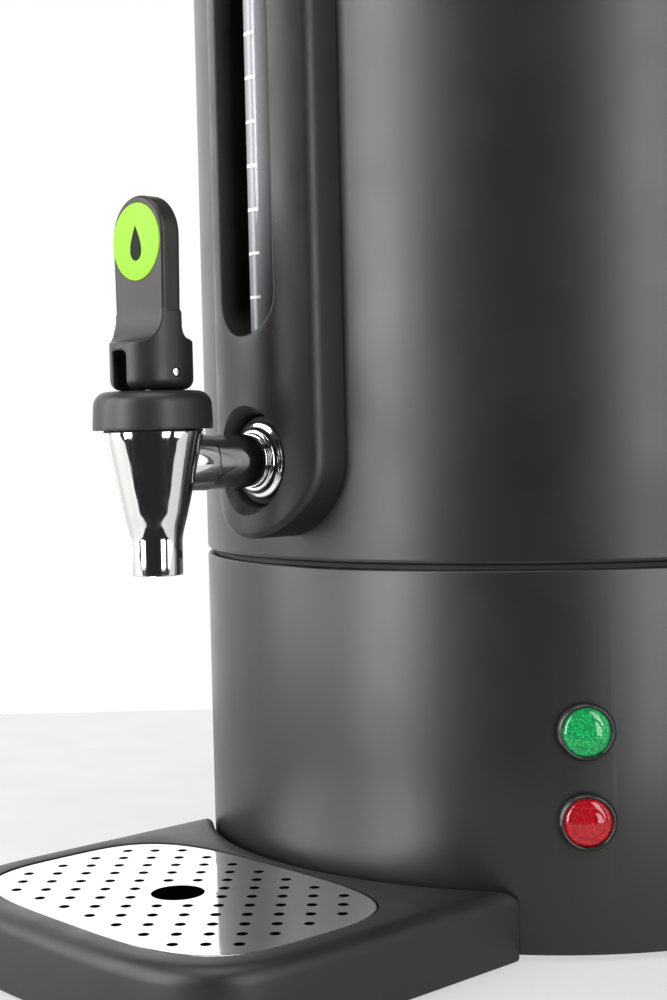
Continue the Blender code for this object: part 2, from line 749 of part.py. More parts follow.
# ---------------------------------------------------------------- percolator
def make_percolator(finish):
    foot = tank_floor + GAP
    basket_floor = tank_floor + BASKET_LIFT
    riser_top = lid_bottom - RISER_TOP_ROOM
    collar_top = basket_floor - GAP
    collar = RISER_RADIUS + COLLAR_WIDTH
    riser = turned(
        "riser_tube",
        [
            (RISER_RADIUS, riser_top),
            (RISER_RADIUS, collar_top),
            (collar, collar_top),
            (collar, collar_top - COLLAR_HEIGHT),
            (RISER_RADIUS, collar_top - 2 * COLLAR_HEIGHT),
            (RISER_RADIUS, foot + PUMP_RISE + COLLAR_WIDTH),
            (PUMP_RADIUS * 0.35, foot + PUMP_RISE),
            (PUMP_RADIUS, foot + 2 * PUMP_WALL),
            (PUMP_RADIUS, foot),
            (PUMP_RADIUS - PUMP_WALL, foot),
            (PUMP_RADIUS - PUMP_WALL, foot + PUMP_WALL + GAP),
            (PUMP_RADIUS * 0.32, foot + PUMP_RISE - PUMP_WALL),
            (RISER_BORE, foot + PUMP_RISE + 2 * PUMP_WALL),
            (RISER_BORE, riser_top),
        ],
        finish["steel"],
        steps=SMALL,
    )
    hub = RISER_RADIUS + 2 * GAP
    rim = basket_floor + BASKET_HEIGHT
    basket = turned(
        "coffee_basket",
        [
            (BASKET_RADIUS, rim),
            (BASKET_RADIUS, basket_floor),
            (hub, basket_floor),
            (hub, rim + HUB_RISE),
            (hub + BASKET_WALL, rim + HUB_RISE),
            (hub + BASKET_WALL, basket_floor + BASKET_WALL),
            (BASKET_RADIUS - BASKET_WALL, basket_floor + BASKET_WALL),
            (BASKET_RADIUS - BASKET_WALL, rim),
        ],
        finish["steel"],
        steps=MEDIUM,
    )
    cover_hole = hub + BASKET_WALL + GAP
    cover_low = rim + GAP
    cover = turned(
        "basket_cover",
        [
            (cover_hole, cover_low + COVER_DEPTH),
            (BASKET_RADIUS * 0.8, cover_low + COVER_DEPTH - COVER_WALL),
            (BASKET_RADIUS * 0.9, cover_low + COVER_DEPTH),
            (BASKET_RADIUS + COVER_LIP, cover_low + COVER_DEPTH),
            (BASKET_RADIUS + COVER_LIP, cover_low + COVER_DEPTH - COVER_WALL),
            (BASKET_RADIUS * 0.9, cover_low + COVER_DEPTH - COVER_WALL),
            (BASKET_RADIUS * 0.8, cover_low),
            (cover_hole, cover_low + COVER_DEPTH - COVER_WALL),
        ],
        finish["steel"],
        steps=MEDIUM,
    )
    axis_empty("percolator_axis", (0, 0, foot), riser, basket)
    axis_empty("basket_cover_axis", (0, 0, cover_low), cover)


# ---------------------------------------------------------------- heater, under the tank
def make_heater(finish):
    plate_top = tank_floor - TANK_WALL - GAP
    plate_low = plate_top - HEATER_PLATE_THICKNESS
    cylinder(
        "heater_plate", HEATER_PLATE_RADIUS, plate_low, HEATER_PLATE_THICKNESS,
        finish=finish["aluminium"], steps=MEDIUM,
    )
    level = plate_low - GAP - HEATER_TUBE_RADIUS
    sweep = math.radians(320)
    ends = level - HEATER_TAIL
    ring = []
    for i in range(25):
        angle = math.radians(110) + sweep * i / 24
        ring.append((HEATER_COIL_RADIUS * math.cos(angle), HEATER_COIL_RADIUS * math.sin(angle), level))
    first, last = ring[0], ring[-1]
    points = [(first[0], first[1], ends), (first[0], first[1], level - HEATER_TUBE_RADIUS)]
    points += ring[1:-1]
    points += [(last[0], last[1], level - HEATER_TUBE_RADIUS), (last[0], last[1], ends)]
    tube("heating_element", points, HEATER_TUBE_RADIUS, finish["steel"], resolution=1)
    capsule_top = plate_low - GAP
    for name, x, radius in (
        ("thermostat", -CAPSULE_OUT, THERMOSTAT_RADIUS), ("thermal_fuse", CAPSULE_OUT, FUSE_RADIUS),
    ):
        turned(
            name,
            [
                (0, capsule_top),
                (radius + CAPSULE_LIP, capsule_top),
                (radius + CAPSULE_LIP, capsule_top - CAPSULE_LIP / 2),
                (radius, capsule_top - CAPSULE_LIP / 2),
                (radius, capsule_top - CAPSULE_HEIGHT),
                (radius * 0.4, capsule_top - CAPSULE_HEIGHT - GAP),
                (radius * 0.4, capsule_top - CAPSULE_HEIGHT - CAPSULE_TERMINAL),
                (0, capsule_top - CAPSULE_HEIGHT - CAPSULE_TERMINAL),
            ],
            finish["plastic"],
            Matrix.Translation((x, 0, 0)),
            steps=FINE,
        )


def make_reset(finish):
    plate_top = base_bottom + BASE_PLATE_RISE + BASE_PLATE_THICKNESS
    body = box(
        "reset_switch",
        (-RESET_BODY, RESET_OUT - RESET_BODY, plate_top + GAP),
        (RESET_BODY, RESET_OUT + RESET_BODY, plate_top + 2 * RESET_BODY),
        finish["plastic"],
        rounding=BOX_ROUNDING,
        segments=1,
    )
    bore = cylinder(
        "cut_reset_bore", RESET_RADIUS + GAP, 0, plate_top + RESET_BODY + RESET_STROKE_ROOM, at=(0, RESET_OUT),
        steps=FINE,
    )
    cut(body, bore)
    low = base_bottom + BASE_PLATE_RISE + GAP
    button = turned(
        "reset_button",
        [
            (0, plate_top + RESET_BODY),
            (RESET_RADIUS, plate_top + RESET_BODY),
            (RESET_RADIUS, low + 2 * GAP),
            (RESET_RADIUS - 2 * GAP, low),
            (0, low),
        ],
        finish["red"],
        Matrix.Translation((0, RESET_OUT, 0)),
        steps=FINE,
    )
    axis_empty("reset_button_axis", (0, RESET_OUT, low), button)


# ---------------------------------------------------------------- water gauge
def fitting_heights():
    """Height of the stub of each gauge fitting."""
    return {"lower": fitting_low() + FITTING_STUB_RADIUS + GAP,
            "upper": fitting_high() - FITTING_STUB_RADIUS - GAP}


def fitting_low():
    return slot_bottom - SLOT_WALL - GAP - FITTING_LENGTH


def fitting_high():
    return slot_top + SLOT_WALL + GAP + FITTING_LENGTH


def body_cutter(name):
    return cylinder(name, BODY_RADIUS + GAP, 0, casing_top, steps=BIG)


def make_gauge(finish):
    nose_centre = nose_y + SPINE_NOSE_RADIUS
    back = -BODY_RADIUS + SPINE_REACH
    housing = outline(
        "gauge_housing", stadium(SPINE_HALF_WIDTH, spine_bottom, spine_top), 0, back - nose_y + 2 * CUT_MARGIN,
        finish["plastic"], from_front(back),
    )
    nose = cylinder(
        "keep_nose", SPINE_NOSE_RADIUS, 0, casing_top, at=(0, nose_centre), steps=BIG
    )
    keep(housing, nose)
    hollow = outline(
        "cut_hollow",
        stadium(SPINE_HALF_WIDTH - SPINE_WALL, spine_bottom + SPINE_WALL, spine_top - SPINE_WALL),
        0, back - nose_y, None, from_front(back + CUT_MARGIN),
    )
    inner_nose = cylinder(
        "keep_inner_nose", SPINE_NOSE_RADIUS - SPINE_WALL, 0, casing_top, at=(0, nose_centre), steps=BIG
    )
    keep(hollow, inner_nose)
    cut(hollow, cylinder(
        "cut_dish_boss", WASHER_RADIUS + DISH_FLARE + GAP, nose_y, washer_seat_y + SPINE_WALL - nose_y,
        "Y", (0, tap_z), steps=MEDIUM,
    ))
    channel = outline(
        "cut_channel_wall",
        stadium(SLOT_HALF_WIDTH + SLOT_WALL, slot_bottom - SLOT_WALL, slot_top + SLOT_WALL),
        0, back - nose_y + 10 * CUT_MARGIN, None, from_front(back + 2 * CUT_MARGIN),
    )
    cut(hollow, channel)
    cut(housing, hollow)
    slot = outline(
        "cut_slot", stadium(SLOT_HALF_WIDTH, slot_bottom, slot_top), 0, back - nose_y + 10 * CUT_MARGIN,
        None, from_front(back + 3 * CUT_MARGIN),
    )
    cut(housing, slot)
    dish = turned(
        "cut_dish",
        [
            (0, -nose_y + CUT_MARGIN),
            (WASHER_RADIUS + DISH_FLARE, -nose_y + CUT_MARGIN),
            (WASHER_RADIUS + DISH_FLARE / 3, -washer_seat_y + 2 * DISH_STEP),
            (WASHER_RADIUS + GAP, -washer_seat_y + DISH_STEP),
            (WASHER_RADIUS + GAP, -washer_seat_y),
            (0, -washer_seat_y),
        ],
        None,
        Matrix.Translation((0, 0, tap_z)) @ ALONG_Y,
        steps=MEDIUM,
    )
    shank = cylinder(
        "cut_spine_shank", SHANK_RADIUS + GAP, nose_y, SPINE_PROUD + 10 * CUT_MARGIN, "Y", (0, tap_z)
    )
    glass_path = cylinder(
        "cut_glass_path", GLASS_RADIUS + 4 * GAP, slot_bottom - 2 * SLOT_WALL,
        slot_top - slot_bottom + 4 * SLOT_WALL,
        at=(0, glass_y), steps=MEDIUM,
    )
    cut(housing, dish, shank, glass_path, body_cutter("cut_spine_back"))
    use_manifold(hollow, housing)

    glass_low = fitting_low() + FITTING_LENGTH - FITTING_SOCKET
    glass_high = fitting_high() - FITTING_LENGTH + FITTING_SOCKET
    turned(
        "sight_glass",
        [
            (GLASS_RADIUS, glass_high - GAP),
            (GLASS_RADIUS, glass_low + GAP),
            (GLASS_RADIUS - GLASS_WALL, glass_low + GAP),
            (GLASS_RADIUS - GLASS_WALL, glass_high - GAP),
        ],
        finish["glass"],
        Matrix.Translation((0, glass_y, 0)),
        steps=MEDIUM,
    )
    for level, low, socket in (
        ("lower", fitting_low(), glass_low),
        ("upper", fitting_high() - FITTING_LENGTH, glass_high - FITTING_SOCKET),
    ):
        stub_z = fitting_heights()[level]
        fitting = cylinder(
            f"gauge_{level}_fitting", FITTING_RADIUS, low, FITTING_LENGTH, at=(0, glass_y),
            finish=finish["brass"], steps=MEDIUM,
        )
        cut(fitting, body_cutter(f"cut_{level}_fitting_back"))
        stub = cylinder(
            f"join_{level}_stub", FITTING_STUB_RADIUS, glass_y,
            BODY_RADIUS - TANK_RADIUS + GLASS_OUT + SPINE_REACH,
            "Y", (0, stub_z), steps=FINE,
        )
        join(fitting, stub)
        bore = cylinder(
            f"cut_{level}_socket", GLASS_RADIUS + GAP, socket, FITTING_SOCKET + CUT_MARGIN,
            at=(0, glass_y), steps=MEDIUM,
        )
        if level == "upper":
            bore.data.transform(Matrix.Translation((0, 0, -CUT_MARGIN)))
        waterway = cylinder(
            f"cut_{level}_waterway", FITTING_STUB_RADIUS - FITTING_BORE_WALL,
            glass_y - FITTING_BORE_WALL, BODY_RADIUS / 2, "Y", (0, stub_z),
            steps=FINE,
        )
        riser_low = min(stub_z, socket)
        riser_high = max(stub_z, socket + FITTING_SOCKET)
        riser = cylinder(
            f"cut_{level}_riser", FITTING_STUB_RADIUS - FITTING_BORE_WALL, riser_low, riser_high - riser_low,
            at=(0, glass_y), steps=FINE,
        )
        cut(fitting, bore, waterway, riser)
    for level, low in (("lower", slot_bottom - SLOT_WALL), ("upper", slot_top)):
        turned(
            f"gauge_{level}_seal",
            [
                (GLASS_RADIUS + 3 * GAP, low + SLOT_WALL - GAP),
                (GLASS_RADIUS + 3 * GAP, low + GAP),
                (GLASS_RADIUS + GAP, low + GAP),
                (GLASS_RADIUS + GAP, low + SLOT_WALL - GAP),
            ],
            finish["rubber"],
            Matrix.Translation((0, glass_y, 0)),
            steps=MEDIUM,
        )


# ---------------------------------------------------------------- tap
def make_tap_body(finish):
    at_axis = Matrix.Translation((0, tap_y, 0))
    seat = cone_bottom + SEAT_RISE
    body = turned(
        "tap_body",
        [
            (0, bonnet_top - BONNET_ROOF - 4 * GAP),
            (NECK_RADIUS, bonnet_top - BONNET_ROOF - 4 * GAP),
            (NECK_RADIUS, cone_top + GAP),
            (CONE_TOP_RADIUS, cone_top),
            (SPOUT_RADIUS + SPOUT_SHOULDER, cone_bottom + 4.5 * SPOUT_SHOULDER),
            (SPOUT_RADIUS, cone_bottom),
            (SPOUT_RADIUS, spout_bottom),
            (0, spout_bottom),
        ],
        finish["chrome"],
        at_axis,
        steps=MEDIUM,
    )
    shank_end = -TANK_RADIUS + SHANK_INSIDE
    arm = cylinder("join_shank", SHANK_RADIUS, tap_y, shank_end - tap_y, "Y", (0, tap_z), steps=MEDIUM)
    saddle = cylinder(
        "join_saddle", SHANK_RADIUS + SADDLE_PROUD, tap_y, SADDLE_REACH, "Y", (0, tap_z), steps=MEDIUM
    )
    join(body, arm, saddle)
    bore = turned(
        "cut_tap_bore",
        [
            (0, bonnet_top),
            (CONE_TOP_RADIUS - CONE_WALL, bonnet_top),
            (CONE_TOP_RADIUS - CONE_WALL, cone_top),
            (SPOUT_RADIUS - 2 * GAP, seat),
            (SEAT_BORE, seat),
            (SEAT_BORE, seat - SEAT_LAND),
            (SPOUT_BORE, cone_bottom),
            (SPOUT_BORE, spout_bottom - CUT_MARGIN),
            (0, spout_bottom - CUT_MARGIN),
        ],
        None,
        at_axis,
        steps=MEDIUM,
    )
    water = cylinder(
        "cut_shank_bore", SHANK_BORE, tap_y, shank_end - tap_y + CUT_MARGIN, "Y", (0, tap_z), steps=FINE
    )
    cut(body, bore, water)

    front = washer_seat_y - GAP
    washer_front = front - WASHER_THICKNESS
    turned(
        "tap_washer",
        [
            (WASHER_RADIUS, -washer_front),
            (WASHER_RADIUS, -front),
            (SHANK_RADIUS + GAP, -front),
            (SHANK_RADIUS + GAP, -washer_front),
        ],
        finish["rubber"],
        Matrix.Translation((0, 0, tap_z)) @ ALONG_Y,
        steps=MEDIUM,
    )
    disc_back = washer_front - GAP
    disc_front = disc_back - ESCUTCHEON_THICKNESS
    turned(
        "tap_escutcheon",
        [
            (ESCUTCHEON_HUB_RADIUS, -disc_front + ESCUTCHEON_HUB),
            (ESCUTCHEON_HUB_RADIUS, -disc_front),
            (ESCUTCHEON_RADIUS - GAP, -disc_front),
            (ESCUTCHEON_RADIUS, -disc_front - GAP),
            (ESCUTCHEON_RADIUS, -disc_back),
            (SHANK_RADIUS + GAP, -disc_back),
            (SHANK_RADIUS + GAP, -disc_front + ESCUTCHEON_HUB),
        ],
        finish["chrome"],
        Matrix.Translation((0, 0, tap_z)) @ ALONG_Y,
        steps=MEDIUM,
    )
    seal_front = -math.sqrt((flats * TANK_RADIUS) ** 2 - NUT_RADIUS**2) + GAP
    seal_back = seal_front + SEAL_THICKNESS
    turned(
        "tap_inner_seal",
        [
            (NUT_RADIUS, -seal_front),
            (NUT_RADIUS, -seal_back),
            (SHANK_RADIUS + GAP, -seal_back),
            (SHANK_RADIUS + GAP, -seal_front),
        ],
        finish["silicone"],
        Matrix.Translation((0, 0, tap_z)) @ ALONG_Y,
        steps=MEDIUM,
    )
    nut = cylinder(
        "tap_lock_nut", NUT_RADIUS, seal_back + GAP, NUT_LENGTH, "Y", (0, tap_z), finish["brass"], steps=6
    )
    hole = cylinder(
        "cut_nut", SHANK_RADIUS + GAP, seal_back - CUT_MARGIN, 2 * NUT_LENGTH, "Y", (0, tap_z), steps=MEDIUM
    )
    cut(nut, hole)


def make_bonnet(finish):
    turned(
        "tap_bonnet",
        arc((BONNET_RADIUS - BONNET_TAPER - BONNET_ROUNDING, bonnet_top - BONNET_ROUNDING), BONNET_ROUNDING,
            90, 0, 3)
        + [
            (BONNET_RADIUS, bonnet_bottom),
            (NECK_RADIUS + GAP, bonnet_bottom),
            (NECK_RADIUS + GAP, bonnet_top - BONNET_ROOF),
            (STEM_RADIUS + GAP, bonnet_top - BONNET_ROOF),
            (STEM_RADIUS + GAP, bonnet_top),
        ],
        finish["plastic"],
        Matrix.Translation((0, tap_y, 0)),
        steps=MEDIUM,
    )


def make_valve(finish):
    """The stem that the lever lifts, the cup that it lifts off its seat, and the spring."""
    at_axis = Matrix.Translation((0, tap_y, 0))
    cup_low = cone_bottom + SEAT_RISE + GAP
    cup_high = cup_low + CUP_HEIGHT
    stem_low = cup_low + CUP_HEIGHT / 3
    collar_low = tap_z - STEM_COLLAR_DROP
    collar_top = collar_low + STEM_COLLAR_HEIGHT
    stem = turned(
        "tap_stem",
        [
            (0, pin_z),
            (STEM_RADIUS, pin_z),
            (STEM_RADIUS, collar_top),
            (STEM_COLLAR_RADIUS, collar_top),
            (STEM_COLLAR_RADIUS, collar_low),
            (STEM_RADIUS, collar_low),
            (STEM_RADIUS, stem_low + GAP),
            (0, stem_low + GAP),
        ],
        finish["steel"],
        at_axis,
    )
    eye_half = LEVER_SLOT_WIDTH / 2 - 2 * GAP
    eye = cylinder("join_stem_eye", STEM_EYE_RADIUS, -eye_half, 2 * eye_half, "X", (tap_y, pin_z), steps=FINE)
    join(stem, eye)
    cut(stem, cylinder(
        "cut_stem_eye", PIN_RADIUS + GAP, -eye_half - CUT_MARGIN, 2 * (eye_half + CUT_MARGIN), "X",
        (tap_y, pin_z),
        steps=FINE,
    ))
    cup = turned(
        "tap_seat_cup",
        [
            (STEM_RADIUS + GAP, cup_high),
            (SPRING_RADIUS, cup_high),
            (SPRING_RADIUS + STEM_EYE_RADIUS / 5, cup_high - CUP_HEIGHT / 3),
            (SPOUT_BORE - GAP / 2, cup_low + CUT_MARGIN),
            (SPOUT_BORE - GAP, cup_low),
            (0, cup_low),
            (0, stem_low),
            (STEM_RADIUS + GAP, stem_low),
        ],
        finish["silicone"],
        at_axis,
    )
    wire, coil, turns = SPRING_WIRE, SPRING_RADIUS, SPRING_TURNS
    low = collar_top + GAP + wire
    high = bonnet_top - BONNET_ROOF - GAP - wire
    points = []
    per_turn = 10
    for i in range(turns * per_turn + 1):
        angle = 2 * math.pi * i / per_turn
        share = i / (turns * per_turn)
        points.append((coil * math.cos(angle), tap_y + coil * math.sin(angle), low + (high - low) * share))
    spring = tube("tap_spring", points, wire, finish["steel"], resolution=0)
    axis_empty("tap_stem_axis", (0, tap_y, cup_low), stem, cup)
    return spring


def make_lever(finish):
    low = bonnet_top + GAP
    high = low + LEVER_BARREL_HEIGHT
    top = low + LEVER_LENGTH
    lever = turned(
        "tap_lever",
        [(0, high), (LEVER_RADIUS - PADDLE_ROUNDING, high), (LEVER_RADIUS, high - PADDLE_ROUNDING)]
        + arc((LEVER_RADIUS - LEVER_HEEL, low + LEVER_HEEL), LEVER_HEEL, 0, -90, 3)
        + [(0, low)],
        finish["plastic"],
        Matrix.Translation((0, tap_y, 0)),
        steps=MEDIUM,
    )
    paddle_points = arc((0, top - LEVER_RADIUS), LEVER_RADIUS, 0, 180, 12)
    paddle_points += [(-LEVER_RADIUS, high - 2 * PADDLE_ROUNDING), (LEVER_RADIUS, high - 2 * PADDLE_ROUNDING)]
    front_y = tap_y - LEVER_FRONT
    paddle = outline(
        "join_paddle", paddle_points, 0, LEVER_THICKNESS, None, from_front(front_y + LEVER_THICKNESS)
    )
    soften(paddle, PADDLE_ROUNDING, 1)
    join(lever, paddle)
    half_slot = LEVER_SLOT_WIDTH / 2
    cut(lever, box(
        "cut_lever_slot",
        (-half_slot, tap_y - 2 * LEVER_RADIUS, low - CUT_MARGIN),
        (half_slot, tap_y + STEM_EYE_RADIUS + 2 * GAP, pin_z + STEM_EYE_RADIUS + LEVER_HEEL),
    ))
    length = 2 * LEVER_RADIUS
    cut(lever, cylinder(
        "cut_lever_pin", PIN_RADIUS + GAP, -length, 2 * length, "X", (tap_y, pin_z), steps=FINE
    ))
    badge_z = top - BADGE_DROP
    cut(lever, cylinder(
        "cut_badge_seat", BADGE_RADIUS + GAP, front_y - CUT_MARGIN, CUT_MARGIN + BADGE_SINK, "Y", (0, badge_z),
        steps=MEDIUM,
    ))
    badge = cylinder(
        "lever_badge", BADGE_RADIUS, front_y - BADGE_PROUD, BADGE_PROUD + BADGE_SINK - GAP, "Y", (0, badge_z),
        finish["badge"], steps=MEDIUM,
    )
    pin = cylinder(
        "lever_pin", PIN_RADIUS, -LEVER_RADIUS + 2 * GAP, 2 * LEVER_RADIUS - 4 * GAP, "X", (tap_y, pin_z),
        finish["chrome"], steps=FINE,
    )
    axis_empty("tap_lever_axis", (0, tap_y, pin_z), lever, badge, pin)


# ---------------------------------------------------------------- drip tray
def tray_outline():
    """The front of the tray is half a squircle. Its straight sides run back into the base."""
    front = squircle(TRAY_HALF_WIDTH, TRAY_HALF_DEPTH, tray_y, 180, 360, 24)
    back = -math.sqrt(BODY_RADIUS**2 - TRAY_HALF_WIDTH**2) + 2 * TRAY_ROUNDING
    return front + [(TRAY_HALF_WIDTH, tray_y), (TRAY_HALF_WIDTH, back), (-TRAY_HALF_WIDTH, back)]


def grid_holes():
    """Places of the small drain holes: a square grid turned by 45 degrees, without its corners and centre."""
    holes = []
    for i in range(2 * HOLE_COLUMNS + 1):
        for j in range(2 * HOLE_ROWS + 1):
            if (i + j) % 2:
                continue
            u, v = i / 2 - HOLE_COLUMNS / 2, j / 2 - HOLE_ROWS / 2
            in_corner = abs(u) + abs(v) > (HOLE_COLUMNS + HOLE_ROWS) / 2 - 0.75
            x, y = HOLE_PITCH_X * u, HOLE_PITCH_Y * v
            if in_corner or math.hypot(x, y) < DRAIN_RADIUS + HOLE_RADIUS + CUT_MARGIN:
                continue
            holes.append((x, tray_y + y))
    return holes


def make_tray(finish):
    tray = outline("drip_tray", tray_outline(), 0, TRAY_HEIGHT, finish["plastic"])
    seat = grid_top - GRID_THICKNESS - GAP
    soften_top(tray, TRAY_ROUNDING, 3)
    lifted = outline(
        "cut_grid_seat", squircle(GRID_HALF_WIDTH + 2 * GAP, GRID_HALF_DEPTH + 2 * GAP, tray_y),
        seat, GRID_THICKNESS + 10 * CUT_MARGIN,
    )
    pocket = outline(
        "cut_tray_pocket",
        squircle(GRID_HALF_WIDTH - TRAY_LEDGE, GRID_HALF_DEPTH - TRAY_LEDGE, tray_y),
        TRAY_FLOOR, TRAY_HEIGHT,
    )
    cut(tray, body_cutter("cut_tray_back"), lifted, pocket)
    grid = outline(
        "drip_grid", squircle(GRID_HALF_WIDTH, GRID_HALF_DEPTH, tray_y), seat + GAP, GRID_THICKNESS,
        finish["mirror"],
    )
    drill = bmesh.new()
    for x, y in grid_holes():
        bmesh.ops.create_cone(
            drill, cap_ends=True, segments=6, radius1=HOLE_RADIUS, radius2=HOLE_RADIUS, depth=10 * CUT_MARGIN,
            matrix=Matrix.Translation((x, y, grid_top)),
        )
    bmesh.ops.create_cone(
        drill, cap_ends=True, segments=32, radius1=DRAIN_RADIUS, radius2=DRAIN_RADIUS, depth=10 * CUT_MARGIN,
        matrix=Matrix.Translation((0, tray_y, grid_top)),
    )
    mesh = bpy.data.meshes.new("cut_grid_holes")
    drill.to_mesh(mesh)
    drill.free()
    cut(grid, place(bpy.data.objects.new("cut_grid_holes", mesh)))
    axis_empty("drip_tray_axis", (0, tray_y, 0), tray)
    axis_empty("drip_grid_axis", (0, tray_y, seat), grid)


# ---------------------------------------------------------------- lamps
def make_lamps(finish):
    bezel_back = BODY_RADIUS + GAP
    bezel_front = bezel_back + LAMP_BEZEL_PROUD
    cup = LAMP_LENS_RADIUS + GAP
    floor = BODY_RADIUS - LAMP_SINK
    nut_front = math.sqrt((flats * (BODY_RADIUS - BASE_WALL)) ** 2 - LAMP_NUT_RADIUS**2) - GAP
    for colour, height in LAMP_HEIGHTS.items():
        where = radial(LAMP_AZIMUTH, height)
        turned(
            f"{colour}_lamp_bezel",
            [
                (cup, bezel_front),
                (LAMP_BEZEL_RADIUS - LAMP_BEZEL_PROUD / 3, bezel_front),
                (LAMP_BEZEL_RADIUS, bezel_front - LAMP_BEZEL_PROUD / 3),
                (LAMP_BEZEL_RADIUS, bezel_back),
                (LAMP_BARREL_RADIUS, bezel_back),
                (LAMP_BARREL_RADIUS, floor - LAMP_SINK / 2),
                (LAMP_BARREL_RADIUS * 0.7, floor - LAMP_SINK / 2),
                (LAMP_BARREL_RADIUS * 0.7, floor - LAMP_SINK / 2 - LAMP_TERMINAL),
                (0, floor - LAMP_SINK / 2 - LAMP_TERMINAL),
                (0, floor),
                (cup, floor),
            ],
            finish["plastic"],
            where,
        )
        lens_edge = bezel_front - 2 * GAP
        turned(
            f"{colour}_lamp_lens",
            [
                (0, lens_edge + LAMP_LENS_DOME),
                (LAMP_LENS_RADIUS * 0.4, lens_edge + LAMP_LENS_DOME * 0.86),
                (LAMP_LENS_RADIUS * 0.75, lens_edge + LAMP_LENS_DOME * 0.5),
                (LAMP_LENS_RADIUS, lens_edge),
                (LAMP_LENS_RADIUS, floor + GAP),
                (0, floor + GAP),
            ],
            finish[colour],
            where,
        )
        turned(
            f"{colour}_lamp_nut",
            [
                (LAMP_NUT_RADIUS, nut_front),
                (LAMP_NUT_RADIUS, nut_front - LAMP_NUT_THICKNESS),
                (LAMP_BARREL_RADIUS + GAP, nut_front - LAMP_NUT_THICKNESS),
                (LAMP_BARREL_RADIUS + GAP, nut_front),
            ],
            finish["plastic"],
            where,
            steps=FINE,
        )


# ---------------------------------------------------------------- handles
def handle_points(sign):
    """A grip bent like a staple, seen from above, with its feet inside the body's outline."""
    back = BODY_RADIUS - HANDLE_SINK
    tip = BODY_RADIUS + HANDLE_REACH
    inner_bend = HANDLE_BEND - HANDLE_GRIP
    half = HANDLE_HALF_LENGTH
    points = [(back, -half)]
    points += arc((tip - HANDLE_BEND, -half + HANDLE_BEND), HANDLE_BEND, -90, 0, 6)
    points += arc((tip - HANDLE_BEND, half - HANDLE_BEND), HANDLE_BEND, 0, 90, 6)
    points += [(back, half), (back, half - HANDLE_GRIP)]
    points += arc((tip - HANDLE_BEND, half - HANDLE_BEND), inner_bend, 90, 0, 4)
    points += arc((tip - HANDLE_BEND, -half + HANDLE_BEND), inner_bend, 0, -90, 4)
    points += [(back, -half + HANDLE_GRIP)]
    return points if sign > 0 else [(-x, y) for x, y in reversed(points)]


def make_handles(finish, casing):
    level = casing_top - HANDLE_DROP
    foot_y = HANDLE_HALF_LENGTH - HANDLE_GRIP / 2
    lean = math.asin(foot_y / BODY_RADIUS)
    head_out = flats * (BODY_RADIUS - CASING_WALL) - 2 * GAP
    for side, sign in (("left", -1), ("right", 1)):
        handle = outline(
            f"{side}_handle", handle_points(sign), level - HANDLE_HEIGHT / 2, HANDLE_HEIGHT, finish["plastic"]
        )
        soften(handle, HANDLE_ROUNDING, 1, 60)
        cut(handle, body_cutter(f"cut_{side}_handle_feet"))
        for end, y_sign in (("front", -1), ("rear", 1)):
            where = radial(sign * (math.pi / 2 + y_sign * lean), level)
            hole = cylinder(
                f"cut_{side}_{end}_screw", HANDLE_SCREW_RADIUS + GAP, BODY_RADIUS / 2,
                BODY_RADIUS / 2 + HANDLE_SCREW_LENGTH + GAP, steps=FINE,
            )
            hole.matrix_world = where
            cut(handle, hole)
            cut(casing, hole)
            turned(
                f"handle_screw_{side}_{end}",
                [
                    (0, BODY_RADIUS + HANDLE_SCREW_LENGTH),
                    (HANDLE_SCREW_RADIUS, BODY_RADIUS + HANDLE_SCREW_LENGTH),
                    (HANDLE_SCREW_RADIUS, head_out),
                    (2 * HANDLE_SCREW_RADIUS, head_out),
                    (2 * HANDLE_SCREW_RADIUS, head_out - HANDLE_SCREW_RADIUS),
                    (0, head_out - 1.2 * HANDLE_SCREW_RADIUS),
                ],
                finish["steel"],
                where,
                steps=FINE,
            )


